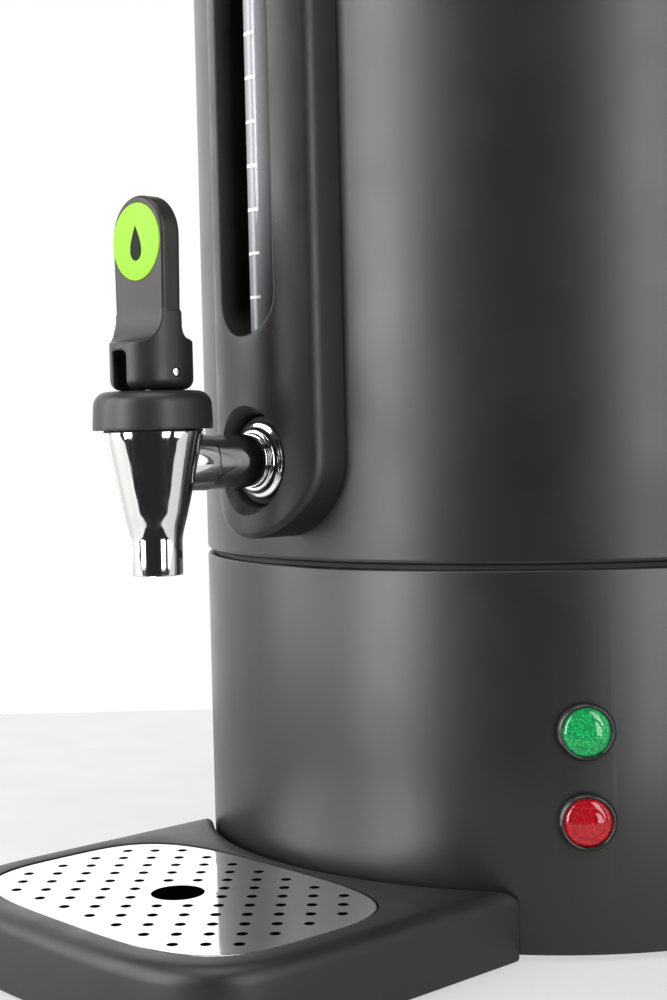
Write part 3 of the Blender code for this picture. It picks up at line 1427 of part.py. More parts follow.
# ---------------------------------------------------------------- power inlet and switch
def make_power(finish):
    plate = box(
        "inlet_plate",
        (-PLATE_HALF_WIDTH, BODY_RADIUS - PLATE_SINK, PLATE_BOTTOM),
        (PLATE_HALF_WIDTH, plate_y, PLATE_BOTTOM + PLATE_HEIGHT),
        finish["plastic"],
        rounding=PLATE_ROUNDING,
    )
    cut(plate, body_cutter("cut_plate_back"))
    inlet_z = PLATE_BOTTOM + INLET_RISE
    switch_z = PLATE_BOTTOM + SWITCH_RISE
    flange_back = plate_y + GAP
    flange_front = flange_back + FLANGE_THICKNESS
    pieces = {}
    for name, width, height, depth, centre, wall in (
        ("power_inlet", INLET_WIDTH, INLET_HEIGHT, INLET_DEPTH, inlet_z, INLET_WALL),
        ("rocker_frame", SWITCH_WIDTH, SWITCH_HEIGHT, SWITCH_DEPTH, switch_z, SWITCH_WALL),
    ):
        half_w, half_h = width / 2 - GAP, height / 2 - GAP
        cut(plate, box(
            "cut_plate_" + name,
            (-width / 2, 0.5 * BODY_RADIUS, centre - height / 2),
            (width / 2, plate_y + 10 * CUT_MARGIN, centre + height / 2),
        ))
        body = box(
            name,
            (-half_w, flange_back - depth, centre - half_h),
            (half_w, flange_back + FLANGE_THICKNESS / 2, centre + half_h),
            finish["plastic"],
        )
        flange = box(
            "join_flange_" + name,
            (-half_w - FLANGE_LIP, flange_back, centre - half_h - FLANGE_LIP),
            (half_w + FLANGE_LIP, flange_front, centre + half_h + FLANGE_LIP),
            rounding=FLANGE_ROUNDING,
            segments=1,
        )
        join(body, flange)
        cut(body, box(
            "cut_hollow_" + name,
            (-half_w + wall, flange_back - depth + 2 * CUT_MARGIN, centre - half_h + wall),
            (half_w - wall, flange_front + CUT_MARGIN, centre + half_h - wall),
        ))
        pieces[name] = (body, half_w - wall, half_h - wall)
    inlet = pieces["power_inlet"][0]
    pin_places = (
        (-INLET_PIN_PITCH, 0.0, INLET_PIN_HALF), (INLET_PIN_PITCH, 0.0, INLET_PIN_HALF),
        (0.0, INLET_EARTH_RISE, INLET_PIN_HALF),
    )
    for index, (x, z, wide) in enumerate(pin_places):
        join(inlet, box(
            f"join_inlet_pin_{index}",
            (x - wide, flange_back - INLET_DEPTH + CUT_MARGIN, inlet_z + z - 2 * INLET_PIN_HALF),
            (x + wide, flange_back - 3 * CUT_MARGIN, inlet_z + z + 2 * INLET_PIN_HALF),
        ))

    _, room_w, room_h = pieces["rocker_frame"]
    pivot_y = flange_front - ROCKER_DEPTH
    half_l = room_h - ROCKER_ROOM
    ear = ROCKER_EAR
    points = [
        (-half_l, ear), (-half_l * 0.5, ear * 0.66), (0, ear * 0.54), (half_l * 0.5, ear * 0.66),
        (half_l, ear), (half_l * 0.92, -0.002), (0, -0.0045), (-half_l * 0.92, -0.002),
    ]
    where = (
        Matrix.Translation((0, pivot_y, switch_z))
        @ Matrix.Rotation(ROCKER_TILT, 4, "X")
        @ Matrix(((0, 0, 1, 0), (0, 1, 0, 0), (-1, 0, 0, 0), (0, 0, 0, 1)))
    )
    thickness = 2 * (room_w - 2 * GAP)
    rocker = outline("power_rocker", points, -thickness / 2, thickness, finish["plastic"], where)
    axis_empty("power_rocker_axis", (0, pivot_y, switch_z), rocker)


# ---------------------------------------------------------------- assembly
def main():
    start_scene()
    finish = make_materials()
    make_base(finish)
    casing = make_casing(finish)
    make_rim(finish)
    make_lid(finish)
    make_percolator(finish)
    make_heater(finish)
    make_reset(finish)
    make_gauge(finish)
    make_tap_body(finish)
    make_bonnet(finish)
    spring = make_valve(finish)
    make_lever(finish)
    make_tray(finish)
    make_lamps(finish)
    make_handles(finish, casing)
    make_power(finish)
    spring.parent = bpy.data.objects["tap_stem_axis"]
    spring.matrix_parent_inverse = spring.parent.matrix_world.inverted()


main()
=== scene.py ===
# %% [markdown]
# # A countertop coffee urn
# This lesson dresses a working model of a coffee urn. The moving parts, their joints and their
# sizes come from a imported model, which is loaded first and never changed. Each visible part is
# then modelled again with smooth curves, rounded edges and a finish of its own, and it rides on
# the body of the part that it stands for.

import math

import bmesh
import bpy
from mathutils import Matrix, Vector


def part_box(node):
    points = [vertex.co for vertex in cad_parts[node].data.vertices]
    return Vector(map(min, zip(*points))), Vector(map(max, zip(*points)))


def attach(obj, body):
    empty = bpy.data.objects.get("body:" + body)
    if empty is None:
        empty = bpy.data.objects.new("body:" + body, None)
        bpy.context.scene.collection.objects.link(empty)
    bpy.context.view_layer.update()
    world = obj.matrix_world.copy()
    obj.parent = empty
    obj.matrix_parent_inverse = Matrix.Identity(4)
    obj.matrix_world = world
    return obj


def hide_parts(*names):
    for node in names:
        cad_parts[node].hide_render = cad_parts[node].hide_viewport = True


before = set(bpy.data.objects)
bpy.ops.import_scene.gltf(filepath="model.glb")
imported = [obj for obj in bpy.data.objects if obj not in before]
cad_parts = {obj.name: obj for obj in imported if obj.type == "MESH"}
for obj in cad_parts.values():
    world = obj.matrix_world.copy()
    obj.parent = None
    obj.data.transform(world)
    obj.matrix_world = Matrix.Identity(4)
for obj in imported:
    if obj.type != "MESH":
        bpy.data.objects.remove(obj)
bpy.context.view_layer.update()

# %% [markdown]
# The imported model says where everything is. Profiles are easier to read in millimetres, so the
# places are turned into millimetres here, and every finished mesh is scaled back to metres.

# %% Read the places of the parts, in millimetres
def low_of(node):
    """The left, front and lower corner of a node's box."""
    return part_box(node)[0] * 1000


def high_of(node):
    """The right, rear and upper corner of a node's box."""
    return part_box(node)[1] * 1000


body_r = high_of("outer_casing").x
casing_low, casing_high = low_of("outer_casing").z, high_of("outer_casing").z
base_low, base_high = low_of("base_housing").z, high_of("base_housing").z
tap_y = (low_of("tap_bonnet").y + high_of("tap_bonnet").y) / 2
tap_z = (low_of("tap_escutcheon").z + high_of("tap_escutcheon").z) / 2
tray_y = (low_of("drip_grid").y + high_of("drip_grid").y) / 2
nose_y = low_of("gauge_housing").y
print("body radius", round(body_r, 2), "tap axis y", round(tap_y, 2), "shank height", round(tap_z, 2))

# %% [markdown]
# The camera comes first, because every later choice is judged through it. It is given by where
# it stands, how far it turns and how far it tips and rolls. The lens is a long one, so the urn's
# upright lines stay nearly parallel.

# %% Camera
camera_place = Vector((0.42915, -0.50406, 0.17364))
camera_turn, camera_tip, camera_roll = 0.8265, 0.0423, 0.0233
ahead = Vector((
    -math.sin(camera_turn) * math.cos(camera_tip),
    math.cos(camera_turn) * math.cos(camera_tip),
    -math.sin(camera_tip),
))
level_right = Vector((math.cos(camera_turn), math.sin(camera_turn), 0.0))
level_down = ahead.cross(level_right)
right = level_right * math.cos(camera_roll) + level_down * math.sin(camera_roll)
down = level_down * math.cos(camera_roll) - level_right * math.sin(camera_roll)
camera_data = bpy.data.cameras.new("studio_camera")
camera_data.sensor_width = 36.0
camera_data.lens = 59.468
camera_data.clip_start = 0.01
camera = bpy.data.objects.new("studio_camera", camera_data)
bpy.context.scene.collection.objects.link(camera)
axes = Matrix((right, -down, -ahead)).transposed()
camera.matrix_world = Matrix.Translation(camera_place) @ axes.to_4x4()
bpy.context.scene.camera = camera
print("camera at", [round(v, 3) for v in camera_place])

# %% [markdown]
# Every piece is made the same way: a bmesh is shaped, scaled to metres and written to an object
# at the origin. These short helpers do that, and they print what they made. Booleans are applied
# at once, so no cutter stays in the scene.

# %% Helpers that turn a bmesh into a finished piece
def as_object(shape, name):
    """Writes a bmesh in millimetres to an object in metres, with its normals outwards."""
    bmesh.ops.scale(shape, vec=(0.001, 0.001, 0.001), verts=shape.verts)
    bmesh.ops.recalc_face_normals(shape, faces=shape.faces)
    mesh = bpy.data.meshes.new(name)
    shape.to_mesh(mesh)
    shape.free()
    made = bpy.data.objects.new(name, mesh)
    bpy.context.scene.collection.objects.link(made)
    return made


def carve(made, tool, operation="DIFFERENCE"):
    """Cuts, joins or keeps a shape with another one, and removes the other."""
    step = made.modifiers.new("carve", "BOOLEAN")
    step.operation = operation
    step.solver = "EXACT"
    step.object = tool
    graph = bpy.context.evaluated_depsgraph_get()
    carved = bpy.data.meshes.new_from_object(made.evaluated_get(graph))
    made.modifiers.clear()
    made.data = carved
    bpy.data.objects.remove(tool, do_unlink=True)


def settle(made, finish, body, *stands_for, sharp=32):
    """Gives an object its finish and its smooth shading, and lets it ride on its body."""
    made.data.materials.clear()
    made.data.materials.append(finish)
    made.data.shade_smooth()
    made.data.set_sharp_from_angle(angle=math.radians(sharp))
    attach(made, body)
    if stands_for:
        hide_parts(*stands_for)
    print(f"{made.name}: {len(made.data.polygons)} faces")


# %% [markdown]
# Most of an urn is turned work: shells, collars, knobs and lenses. A profile is laid out as a
# chain of points, its corners are rounded with a vertex bevel, and a full spin closes it. A
# profile that ends on the axis closes there in a pole, which is welded afterwards.

# %% Helpers for turned shapes
WELD = 0.002  # in millimetres, for the points of a pole


def turned(profile, steps=96):
    """A bmesh turned about Z from (radius, height, rounding) points given in order."""
    shape = bmesh.new()
    corners = [shape.verts.new((radius, 0.0, height)) for radius, height, _ in profile]
    for start, end in zip(corners, corners[1:]):
        shape.edges.new((start, end))
    if profile[0][0] > 0 or profile[-1][0] > 0:
        shape.edges.new((corners[-1], corners[0]))
    for corner, (_, _, rounding) in zip(corners, profile):
        if rounding:
            bmesh.ops.bevel(
                shape, geom=[corner], offset=rounding, offset_type="OFFSET", affect="VERTICES",
                segments=max(2, min(8, round(2 + 2 * rounding))), profile=0.5, material=-1,
            )
    bmesh.ops.spin(
        shape, geom=shape.verts[:] + shape.edges[:], cent=(0, 0, 0), axis=(0, 0, 1),
        angle=2 * math.pi, steps=steps, use_merge=True,
    )
    bmesh.ops.remove_doubles(shape, verts=shape.verts, dist=WELD)
    return shape


def moved(shape, matrix):
    """Moves or turns a bmesh, and hands it on."""
    bmesh.ops.transform(shape, matrix=matrix, verts=shape.verts)
    return shape


FORWARD = Matrix.Rotation(math.pi / 2, 4, "X")


def from_body(azimuth, height):
    """Turns a shape's +Z outwards from the urn's axis, at an angle from the front."""
    return Matrix.Translation((0, 0, height)) @ Matrix.Rotation(azimuth, 4, "Z") @ FORWARD


# %% [markdown]
# The other shapes are swept: a ring of vertices is extruded again and again, and each new ring
# is moved, turned or laid out anew. Closing the first and last ring makes the solid whole.

# %% Helpers for swept shapes
def ring_of(shape, count):
    """A ring of vertices and its edges, ready to be laid out and extruded."""
    return bmesh.ops.create_circle(shape, segments=count, radius=1.0)["verts"]


def next_ring(shape, ring):
    """Extrudes a ring and returns the new ring in the same order."""
    members = set(ring)
    edges = [edge for edge in shape.edges if edge.verts[0] in members and edge.verts[1] in members]
    made = bmesh.ops.extrude_edge_only(shape, edges=edges)["geom"]
    fresh = {item for item in made if isinstance(item, bmesh.types.BMVert)}
    return [
        next(edge.other_vert(vert) for edge in vert.link_edges if edge.other_vert(vert) in fresh)
        for vert in ring
    ]


def lay_out(ring, points):
    """Puts each vertex of a ring at its own point."""
    for vert, point in zip(ring, points):
        vert.co = point


def cap(shape, ring):
    """Closes a ring with one face."""
    bmesh.ops.contextual_create(shape, geom=ring)


def block(low, high, rounding=0.0, segments=3):
    """A box with all its edges rounded."""
    shape = bmesh.new()
    bmesh.ops.create_cube(shape, size=1.0)
    low, high = Vector(low), Vector(high)
    bmesh.ops.scale(shape, vec=high - low, verts=shape.verts)
    bmesh.ops.translate(shape, vec=(low + high) / 2, verts=shape.verts)
    if rounding:
        bmesh.ops.bevel(
            shape, geom=shape.edges[:], offset=rounding, offset_type="OFFSET", affect="EDGES",
            segments=segments, profile=0.5, material=-1,
        )
    return shape


def rod(radius, start, end, steps=32):
    """A round bar along Z."""
    return turned([(0, end, 0), (radius, end, 0), (radius, start, 0), (0, start, 0)], steps)


# %% [markdown]
# Three effects come back in many finishes, so each is a node group. The first is the fine skin
# of a powder coat or of moulded plastic: tiny grains for the bump, and broad faint patches that
# vary the gloss. All of them read Object coordinates, so they have a real size in metres.

# %% Shader group: fine skin
def new_group(name, inputs, outputs):
    """An empty shader group with its named inputs and outputs."""
    group = bpy.data.node_groups.new(name, "ShaderNodeTree")
    for title, kind, value in inputs:
        socket = group.interface.new_socket(name=title, in_out="INPUT", socket_type=kind)
        socket.default_value = value
    for title, kind in outputs:
        group.interface.new_socket(name=title, in_out="OUTPUT", socket_type=kind)
    return group, group.nodes.new("NodeGroupInput"), group.nodes.new("NodeGroupOutput")


def math_node(nodes, links, operation, first, second):
    """A Math node whose inputs are numbers or sockets."""
    node = nodes.new("ShaderNodeMath")
    node.operation = operation
    for socket, value in zip(node.inputs, (first, second)):
        if isinstance(value, (int, float)):
            socket.default_value = value
        else:
            links.new(value, socket)
    return node.outputs[0]


def map_range(nodes, links, value, low, high, to_low, to_high):
    """Carries a value from one range over to another."""
    node = nodes.new("ShaderNodeMapRange")
    for socket, given in zip(node.inputs, (value, low, high, to_low, to_high)):
        if isinstance(given, (int, float)):
            socket.default_value = given
        else:
            links.new(given, socket)
    return node.outputs[0]


fine_skin, skin_in, skin_out = new_group(
    "fine_skin",
    [("Grains per metre", "NodeSocketFloat", 1500.0), ("Patches per metre", "NodeSocketFloat", 30.0)],
    [("Grain", "NodeSocketFloat"), ("Patches", "NodeSocketFloat")],
)
nodes, links = fine_skin.nodes, fine_skin.links
where = nodes.new("ShaderNodeTexCoord")
grain = nodes.new("ShaderNodeTexNoise")
grain.inputs["Detail"].default_value = 2.0
patches = nodes.new("ShaderNodeTexNoise")
patches.inputs["Detail"].default_value = 3.0
for texture, scale in ((grain, "Grains per metre"), (patches, "Patches per metre")):
    links.new(where.outputs["Object"], texture.inputs["Vector"])
    links.new(skin_in.outputs[scale], texture.inputs["Scale"])
links.new(grain.outputs["Fac"], skin_out.inputs["Grain"])
links.new(patches.outputs["Fac"], skin_out.inputs["Patches"])
print("group", fine_skin.name)

# %% [markdown]
# The second effect is dust: a few pale specks that lie on surfaces facing upwards and cling to
# dark plastic. A Voronoi texture gives one speck for each cell, and a threshold on the cell's own
# random colour keeps only some of them.

# %% Shader group: dust specks
dust_specks, dust_in, dust_out = new_group(
    "dust_specks",
    [
        ("Specks per metre", "NodeSocketFloat", 220.0),
        ("Size", "NodeSocketFloat", 0.06),
        ("Share kept", "NodeSocketFloat", 0.12),
    ],
    [("Mask", "NodeSocketFloat")],
)
nodes, links = dust_specks.nodes, dust_specks.links
where = nodes.new("ShaderNodeTexCoord")
cells = nodes.new("ShaderNodeTexVoronoi")
links.new(where.outputs["Object"], cells.inputs["Vector"])
links.new(dust_in.outputs["Specks per metre"], cells.inputs["Scale"])
near = math_node(nodes, links, "LESS_THAN", cells.outputs["Distance"], dust_in.outputs["Size"])
chance = nodes.new("ShaderNodeSeparateColor")
links.new(cells.outputs["Color"], chance.inputs["Color"])
kept = math_node(nodes, links, "LESS_THAN", chance.outputs[0], dust_in.outputs["Share kept"])
facing = nodes.new("ShaderNodeNewGeometry")
tilt = nodes.new("ShaderNodeSeparateXYZ")
links.new(facing.outputs["Normal"], tilt.inputs["Vector"])
upward = map_range(nodes, links, tilt.outputs["Z"], -0.1, 0.5, 0.25, 1.0)
speck = math_node(nodes, links, "MULTIPLY", near, kept)
links.new(math_node(nodes, links, "MULTIPLY", speck, upward), dust_out.inputs["Mask"])
print("group", dust_specks.name)

# %% [markdown]
# The third effect is the hairline of brushed or wiped metal. The same noise is stretched a
# hundredfold along one direction, which leaves fine parallel lines.

# %% Shader group: hairlines
hairlines, hair_in, hair_out = new_group(
    "hairlines",
    [("Stretch", "NodeSocketVector", (1500.0, 1500.0, 12.0))],
    [("Lines", "NodeSocketFloat")],
)
nodes, links = hairlines.nodes, hairlines.links
where = nodes.new("ShaderNodeTexCoord")
stretch = nodes.new("ShaderNodeVectorMath")
stretch.operation = "MULTIPLY"
links.new(where.outputs["Object"], stretch.inputs[0])
links.new(hair_in.outputs["Stretch"], stretch.inputs[1])
lines = nodes.new("ShaderNodeTexNoise")
lines.inputs["Scale"].default_value = 1.0
lines.inputs["Detail"].default_value = 3.0
links.new(stretch.outputs["Vector"], lines.inputs["Vector"])
links.new(lines.outputs["Fac"], hair_out.inputs["Lines"])
print("group", hairlines.name)

# %% [markdown]
# A finish starts as a Principled shader with its plain values set on its own sockets. Each
# helper below then adds one effect to it, so a finish is a short list of effects.

# %% Helpers for finishes
NOISE_SPAN = (0.3, 0.7)  # where nearly all values of a noise texture lie


def finish_of(name, colour, roughness, metallic=0.0, **settings):
    """A material whose plain values sit on the Principled shader's own sockets."""
    made = bpy.data.materials.new(name)
    made.use_nodes = True
    shader = made.node_tree.nodes["Principled BSDF"]
    shader.inputs["Base Color"].default_value = (*colour, 1.0)
    shader.inputs["Roughness"].default_value = roughness
    shader.inputs["Metallic"].default_value = metallic
    for title, value in settings.items():
        shader.inputs[title.replace("_", " ")].default_value = value
    return made


def parts_of(finish):
    """The nodes, the links and the Principled shader of a finish."""
    tree = finish.node_tree
    return tree.nodes, tree.links, tree.nodes["Principled BSDF"]


def use_group(finish, group, **values):
    """Places a shader group in a finish with values of its own."""
    nodes, _, _ = parts_of(finish)
    used = nodes.new("ShaderNodeGroup")
    used.node_tree = group
    for title, value in values.items():
        used.inputs[title.replace("_", " ")].default_value = value
    return used


def add_bump(finish, height, distance, strength=1.0):
    """Adds a relief of a given depth in metres on top of what the finish already has."""
    nodes, links, shader = parts_of(finish)
    bump = nodes.new("ShaderNodeBump")
    bump.inputs["Distance"].default_value = distance
    bump.inputs["Strength"].default_value = strength
    links.new(height, bump.inputs["Height"])
    if shader.inputs["Normal"].links:
        links.new(shader.inputs["Normal"].links[0].from_socket, bump.inputs["Normal"])
    links.new(bump.outputs["Normal"], shader.inputs["Normal"])


def add_skin(finish, grains, depth, spread, patches=30.0):
    """Grain in the relief, and broad patches in the gloss."""
    nodes, links, shader = parts_of(finish)
    skin = use_group(finish, fine_skin, Grains_per_metre=grains, Patches_per_metre=patches)
    add_bump(finish, skin.outputs["Grain"], depth)
    plain = shader.inputs["Roughness"].default_value
    gloss = map_range(nodes, links, skin.outputs["Patches"], *NOISE_SPAN, plain - spread, plain + spread)
    links.new(gloss, shader.inputs["Roughness"])
    return skin


# %% [markdown]
# Colour effects are laid over what the finish has already, as coats of paint are. The mask says
# where, and the strength says how much of the new colour covers the old one.

# %% Helpers that lay one colour over another
def mix_colour(finish, mask, colour, strength=1.0):
    """Lays a colour over the base colour where the mask is high."""
    nodes, links, shader = parts_of(finish)
    mix = nodes.new("ShaderNodeMix")
    mix.data_type = "RGBA"
    base = shader.inputs["Base Color"]
    if base.links:
        links.new(base.links[0].from_socket, mix.inputs["A"])
    else:
        mix.inputs["A"].default_value = base.default_value
    mix.inputs["B"].default_value = (*colour, 1.0)
    links.new(math_node(nodes, links, "MULTIPLY", mask, strength), mix.inputs["Factor"])
    links.new(mix.outputs["Result"], base)


def add_dust(finish, specks=220.0, size=0.06, share=0.12, colour=(0.55, 0.54, 0.5), strength=0.8):
    """Pale specks over the base colour."""
    dust = use_group(finish, dust_specks, Specks_per_metre=specks, Size=size, Share_kept=share)
    mix_colour(finish, dust.outputs["Mask"], colour, strength)


def add_hairlines(finish, stretch, depth, spread):
    """Fine lines in the relief and in the gloss."""
    nodes, links, shader = parts_of(finish)
    hair = use_group(finish, hairlines, Stretch=stretch)
    add_bump(finish, hair.outputs["Lines"], depth)
    plain = shader.inputs["Roughness"].default_value
    gloss = map_range(nodes, links, hair.outputs["Lines"], *NOISE_SPAN, plain - spread, plain + spread)
    links.new(gloss, shader.inputs["Roughness"])


# %% [markdown]
# The body is sheet steel with a matt black coat. It is not quite flat: the coat has a very fine
# grain, and the rolled sheet leaves faint upright bands in the reflections.

# %% Finish: matt black coat
coat_black = finish_of("coat_black", (0.0055, 0.0055, 0.0054), 0.38)
skin = add_skin(coat_black, 1900.0, 0.000012, 0.035, 22.0)
mix_colour(coat_black, skin.outputs["Patches"], (0.0075, 0.0075, 0.0073), 0.6)
bands = use_group(coat_black, hairlines, Stretch=(110.0, 110.0, 1.2))
add_bump(coat_black, bands.outputs["Lines"], 0.00005, 0.5)
add_dust(coat_black, 120.0, 0.035, 0.06, strength=0.35)
print("finish", coat_black.name)

# %% [markdown]
# The gauge housing, tap lever, bonnet and tray are moulded plastic with a spark-eroded surface:
# a little rougher than the coat, with some dust on what faces up.

# %% Finish: moulded black plastic
plastic_black = finish_of("plastic_black", (0.0095, 0.0086, 0.0074), 0.42)
plastic_black.node_tree.nodes["Principled BSDF"].inputs["Specular IOR Level"].default_value = 0.36
skin = add_skin(plastic_black, 1300.0, 0.00002, 0.05, 60.0)
mix_colour(plastic_black, skin.outputs["Patches"], (0.0135, 0.0122, 0.0106), 0.6)
add_dust(plastic_black, 260.0, 0.055, 0.10, strength=0.6)

gloss_black = finish_of("gloss_black", (0.008, 0.008, 0.008), 0.22)
add_skin(gloss_black, 900.0, 0.000006, 0.05, 80.0)
add_dust(gloss_black, 240.0, 0.05, 0.05, strength=0.4)

rubber_black = finish_of("rubber_black", (0.010, 0.010, 0.010), 0.75)
add_skin(rubber_black, 1100.0, 0.00003, 0.08, 90.0)
print("finishes", plastic_black.name, gloss_black.name, rubber_black.name)

# %% [markdown]
# The tap is chrome plate over a casting. Plating follows the casting's slow waves and carries
# small wipe marks, so the mirror is never perfect.

# %% Finish: chrome
chrome = finish_of("chrome", (0.78, 0.78, 0.77), 0.07, 1.0)
add_skin(chrome, 70.0, 0.00002, 0.035, 120.0)
add_hairlines(chrome, (900.0, 900.0, 60.0), 0.000001, 0.03)
add_dust(chrome, 300.0, 0.05, 0.05, colour=(0.30, 0.30, 0.29), strength=0.5)
print("finish", chrome.name)

# %% [markdown]
# The drip grid is thin polished steel. It is almost a mirror, with fine scratches in both
# directions from cups and cloths, and dried specks of water.

# %% Finish: polished steel of the grid
steel_polished = finish_of("steel_polished", (0.74, 0.74, 0.73), 0.055, 1.0)
add_hairlines(steel_polished, (2400.0, 60.0, 60.0), 0.0000007, 0.025)
add_hairlines(steel_polished, (40.0, 1900.0, 60.0), 0.0000007, 0.025)
add_dust(steel_polished, 420.0, 0.08, 0.10, colour=(0.9, 0.88, 0.84), strength=0.7)
print("finish", steel_polished.name)

# %% [markdown]
# The lid, tank and basket are spun or drawn stainless steel. Spinning leaves rings about the
# axis. Rings come from the distance to the Z axis, which is worked out from Object coordinates.

# %% Finish: spun and drawn steel
steel_spun = finish_of("steel_spun", (0.58, 0.58, 0.57), 0.26, 1.0)
nodes, links, shader = parts_of(steel_spun)
where = nodes.new("ShaderNodeTexCoord")
flat = nodes.new("ShaderNodeVectorMath")
flat.operation = "MULTIPLY"
flat.inputs[1].default_value = (1.0, 1.0, 0.0)
links.new(where.outputs["Object"], flat.inputs[0])
reach = nodes.new("ShaderNodeVectorMath")
reach.operation = "LENGTH"
links.new(flat.outputs["Vector"], reach.inputs[0])
rings = nodes.new("ShaderNodeTexNoise")
rings.noise_dimensions = "1D"
rings.inputs["Scale"].default_value = 1400.0
rings.inputs["Detail"].default_value = 3.0
links.new(reach.outputs["Value"], rings.inputs["W"])
add_bump(steel_spun, rings.outputs["Fac"], 0.000006)
ring_gloss = map_range(nodes, links, rings.outputs["Fac"], *NOISE_SPAN, 0.2, 0.32)
links.new(ring_gloss, shader.inputs["Roughness"])
add_dust(steel_spun, 180.0, 0.04, 0.05, colour=(0.35, 0.34, 0.32), strength=0.5)

steel_drawn = finish_of("steel_drawn", (0.56, 0.56, 0.55), 0.28, 1.0)
add_hairlines(steel_drawn, (900.0, 900.0, 10.0), 0.000003, 0.06)
print("finishes", steel_spun.name, steel_drawn.name)

# %% [markdown]
# Small parts inside and behind have plain industrial finishes: cast aluminium, brass, silicone
# and the printed white of the gauge marks.

# %% Finishes: aluminium, brass, silicone, white print
aluminium_cast = finish_of("aluminium_cast", (0.48, 0.48, 0.49), 0.5, 1.0)
add_skin(aluminium_cast, 600.0, 0.00006, 0.08, 60.0)
brass_turned = finish_of("brass_turned", (0.58, 0.43, 0.19), 0.32, 1.0)
add_skin(brass_turned, 500.0, 0.00001, 0.06, 120.0)
silicone_clear = finish_of("silicone_clear", (0.62, 0.61, 0.57), 0.45, Subsurface_Weight=0.2)
add_skin(silicone_clear, 700.0, 0.00001, 0.05, 80.0)
print_white = finish_of("print_white", (0.86, 0.86, 0.85), 0.4)
add_skin(print_white, 1600.0, 0.000006, 0.05, 200.0)
print("finishes", aluminium_cast.name, brass_turned.name, silicone_clear.name, print_white.name)

# %% [markdown]
# The gauge tube is clear, slightly milky plastic. The lamps have coloured lenses over a pebbled
# reflector, whose pebble crowns carry painted glints and a faint painted glow that stand in for light
# caught from in front.

# %% Finishes: gauge tube and lamps
tube_clear = finish_of(
    "tube_clear", (0.36, 0.37, 0.39), 0.10, Transmission_Weight=0.35, IOR=1.47
)
add_skin(tube_clear, 300.0, 0.000002, 0.02, 40.0)


def lens_finish(name, colour):
    """Clear coloured plastic."""
    made = finish_of(name, colour, 0.04, Transmission_Weight=0.92, IOR=1.45)
    add_skin(made, 200.0, 0.000001, 0.01, 90.0)
    return made


def pebble_finish_with_painted_glints(name, deep, glint_colour):
    """A reflector of small round pebbles, with painted glints on their crowns and a faint painted glow that
    stand in for light from in front.
    """
    made = finish_of(name, deep, 0.25, Coat_Weight=0.5)
    nodes, links, shader = parts_of(made)
    where = nodes.new("ShaderNodeTexCoord")
    pebbles = nodes.new("ShaderNodeTexVoronoi")
    pebbles.inputs["Scale"].default_value = 1250.0
    links.new(where.outputs["Object"], pebbles.inputs["Vector"])
    # Painted glint: each pebble's crown gets a bright colour as if it caught a light; the same crown shape
    # also drives the bump.
    crown_and_glint = map_range(nodes, links, pebbles.outputs["Distance"], 0.1, 0.55, 1.0, 0.0)
    mix_colour(made, crown_and_glint, glint_colour, 1.0)
    # Painted glow: the whole disc, glints included, emits its own colour, standing in for light caught from
    # in front.
    links.new(shader.inputs["Base Color"].links[0].from_socket, shader.inputs["Emission Color"])
    shader.inputs["Emission Strength"].default_value = 0.55
    add_bump(made, crown_and_glint, 0.00025)
    return made


lens_green = lens_finish("lens_green", (0.10, 0.72, 0.38))
lens_red = lens_finish("lens_red", (0.78, 0.06, 0.10))
pebbles_green_painted_glints = pebble_finish_with_painted_glints("pebbles_green_painted_glints", (0.0, 0.24, 0.09), (0.02, 0.80, 0.34))
pebbles_red_painted_glints = pebble_finish_with_painted_glints("pebbles_red_painted_glints", (0.26, 0.0, 0.01), (0.85, 0.02, 0.05))
print("finishes", tube_clear.name, lens_green.name, lens_red.name)

# %% [markdown]
# The badge is lime green printed plastic under a thin clear layer, with a small dark mark.

# %% Finishes: badge
badge_lime = finish_of("badge_lime", (0.185, 0.40, 0.010), 0.45)
badge_lime.node_tree.nodes["Principled BSDF"].inputs["Specular IOR Level"].default_value = 0.25
skin = add_skin(badge_lime, 900.0, 0.000008, 0.05, 120.0)
mix_colour(badge_lime, skin.outputs["Patches"], (0.205, 0.43, 0.014), 0.6)
badge_ink = finish_of("badge_ink", (0.004, 0.008, 0.003), 0.6)
badge_ink.node_tree.nodes["Principled BSDF"].inputs["Specular IOR Level"].default_value = 0.12
add_skin(badge_ink, 1200.0, 0.000006, 0.05, 200.0)
print("finishes", badge_lime.name, badge_ink.name)

# %% [markdown]
# The lower housing is one drawn shell: an upright wall with a flat deck folded in at its top. A
# closed profile, spun once, gives it a real wall thickness. Windows for the power inlet and the
# two lamps are then cut through it.

# %% Lower housing
wall, deck_reach, deck_lip = 1.5, 18, 0.4
lamp_turn = math.radians(47.1)
lamp_heights = [("green", 75.0), ("red", 45.8)]
lamp_hole_r = 8.9
made = as_object(turned([
    (body_r, base_low, 0.5), (body_r, base_high + deck_lip, 0.9), (body_r - 4, base_high + deck_lip, 1.0),
    (body_r - 5, base_high, 0.5), (body_r - deck_reach, base_high, 0),
    (body_r - deck_reach, base_high - wall, 0), (body_r - wall, base_high - wall, 0.6),
    (body_r - wall, base_low, 0.5),
], 220), "base_shell")
carve(made, as_object(block((-26, 110, 31), (26, 150, 98)), "window"))
for colour, height in lamp_heights:
    hole = moved(rod(lamp_hole_r, 120, 140), from_body(lamp_turn, height))
    carve(made, as_object(hole, "lamp_hole"))
settle(made, coat_black, "urn", "base_housing")

# %% [markdown]
# A narrow groove parts the housing from the casing above it. The groove is a smaller dark ring,
# and the casing's lower edge rolls into it, so the line between the two catches a soft light.

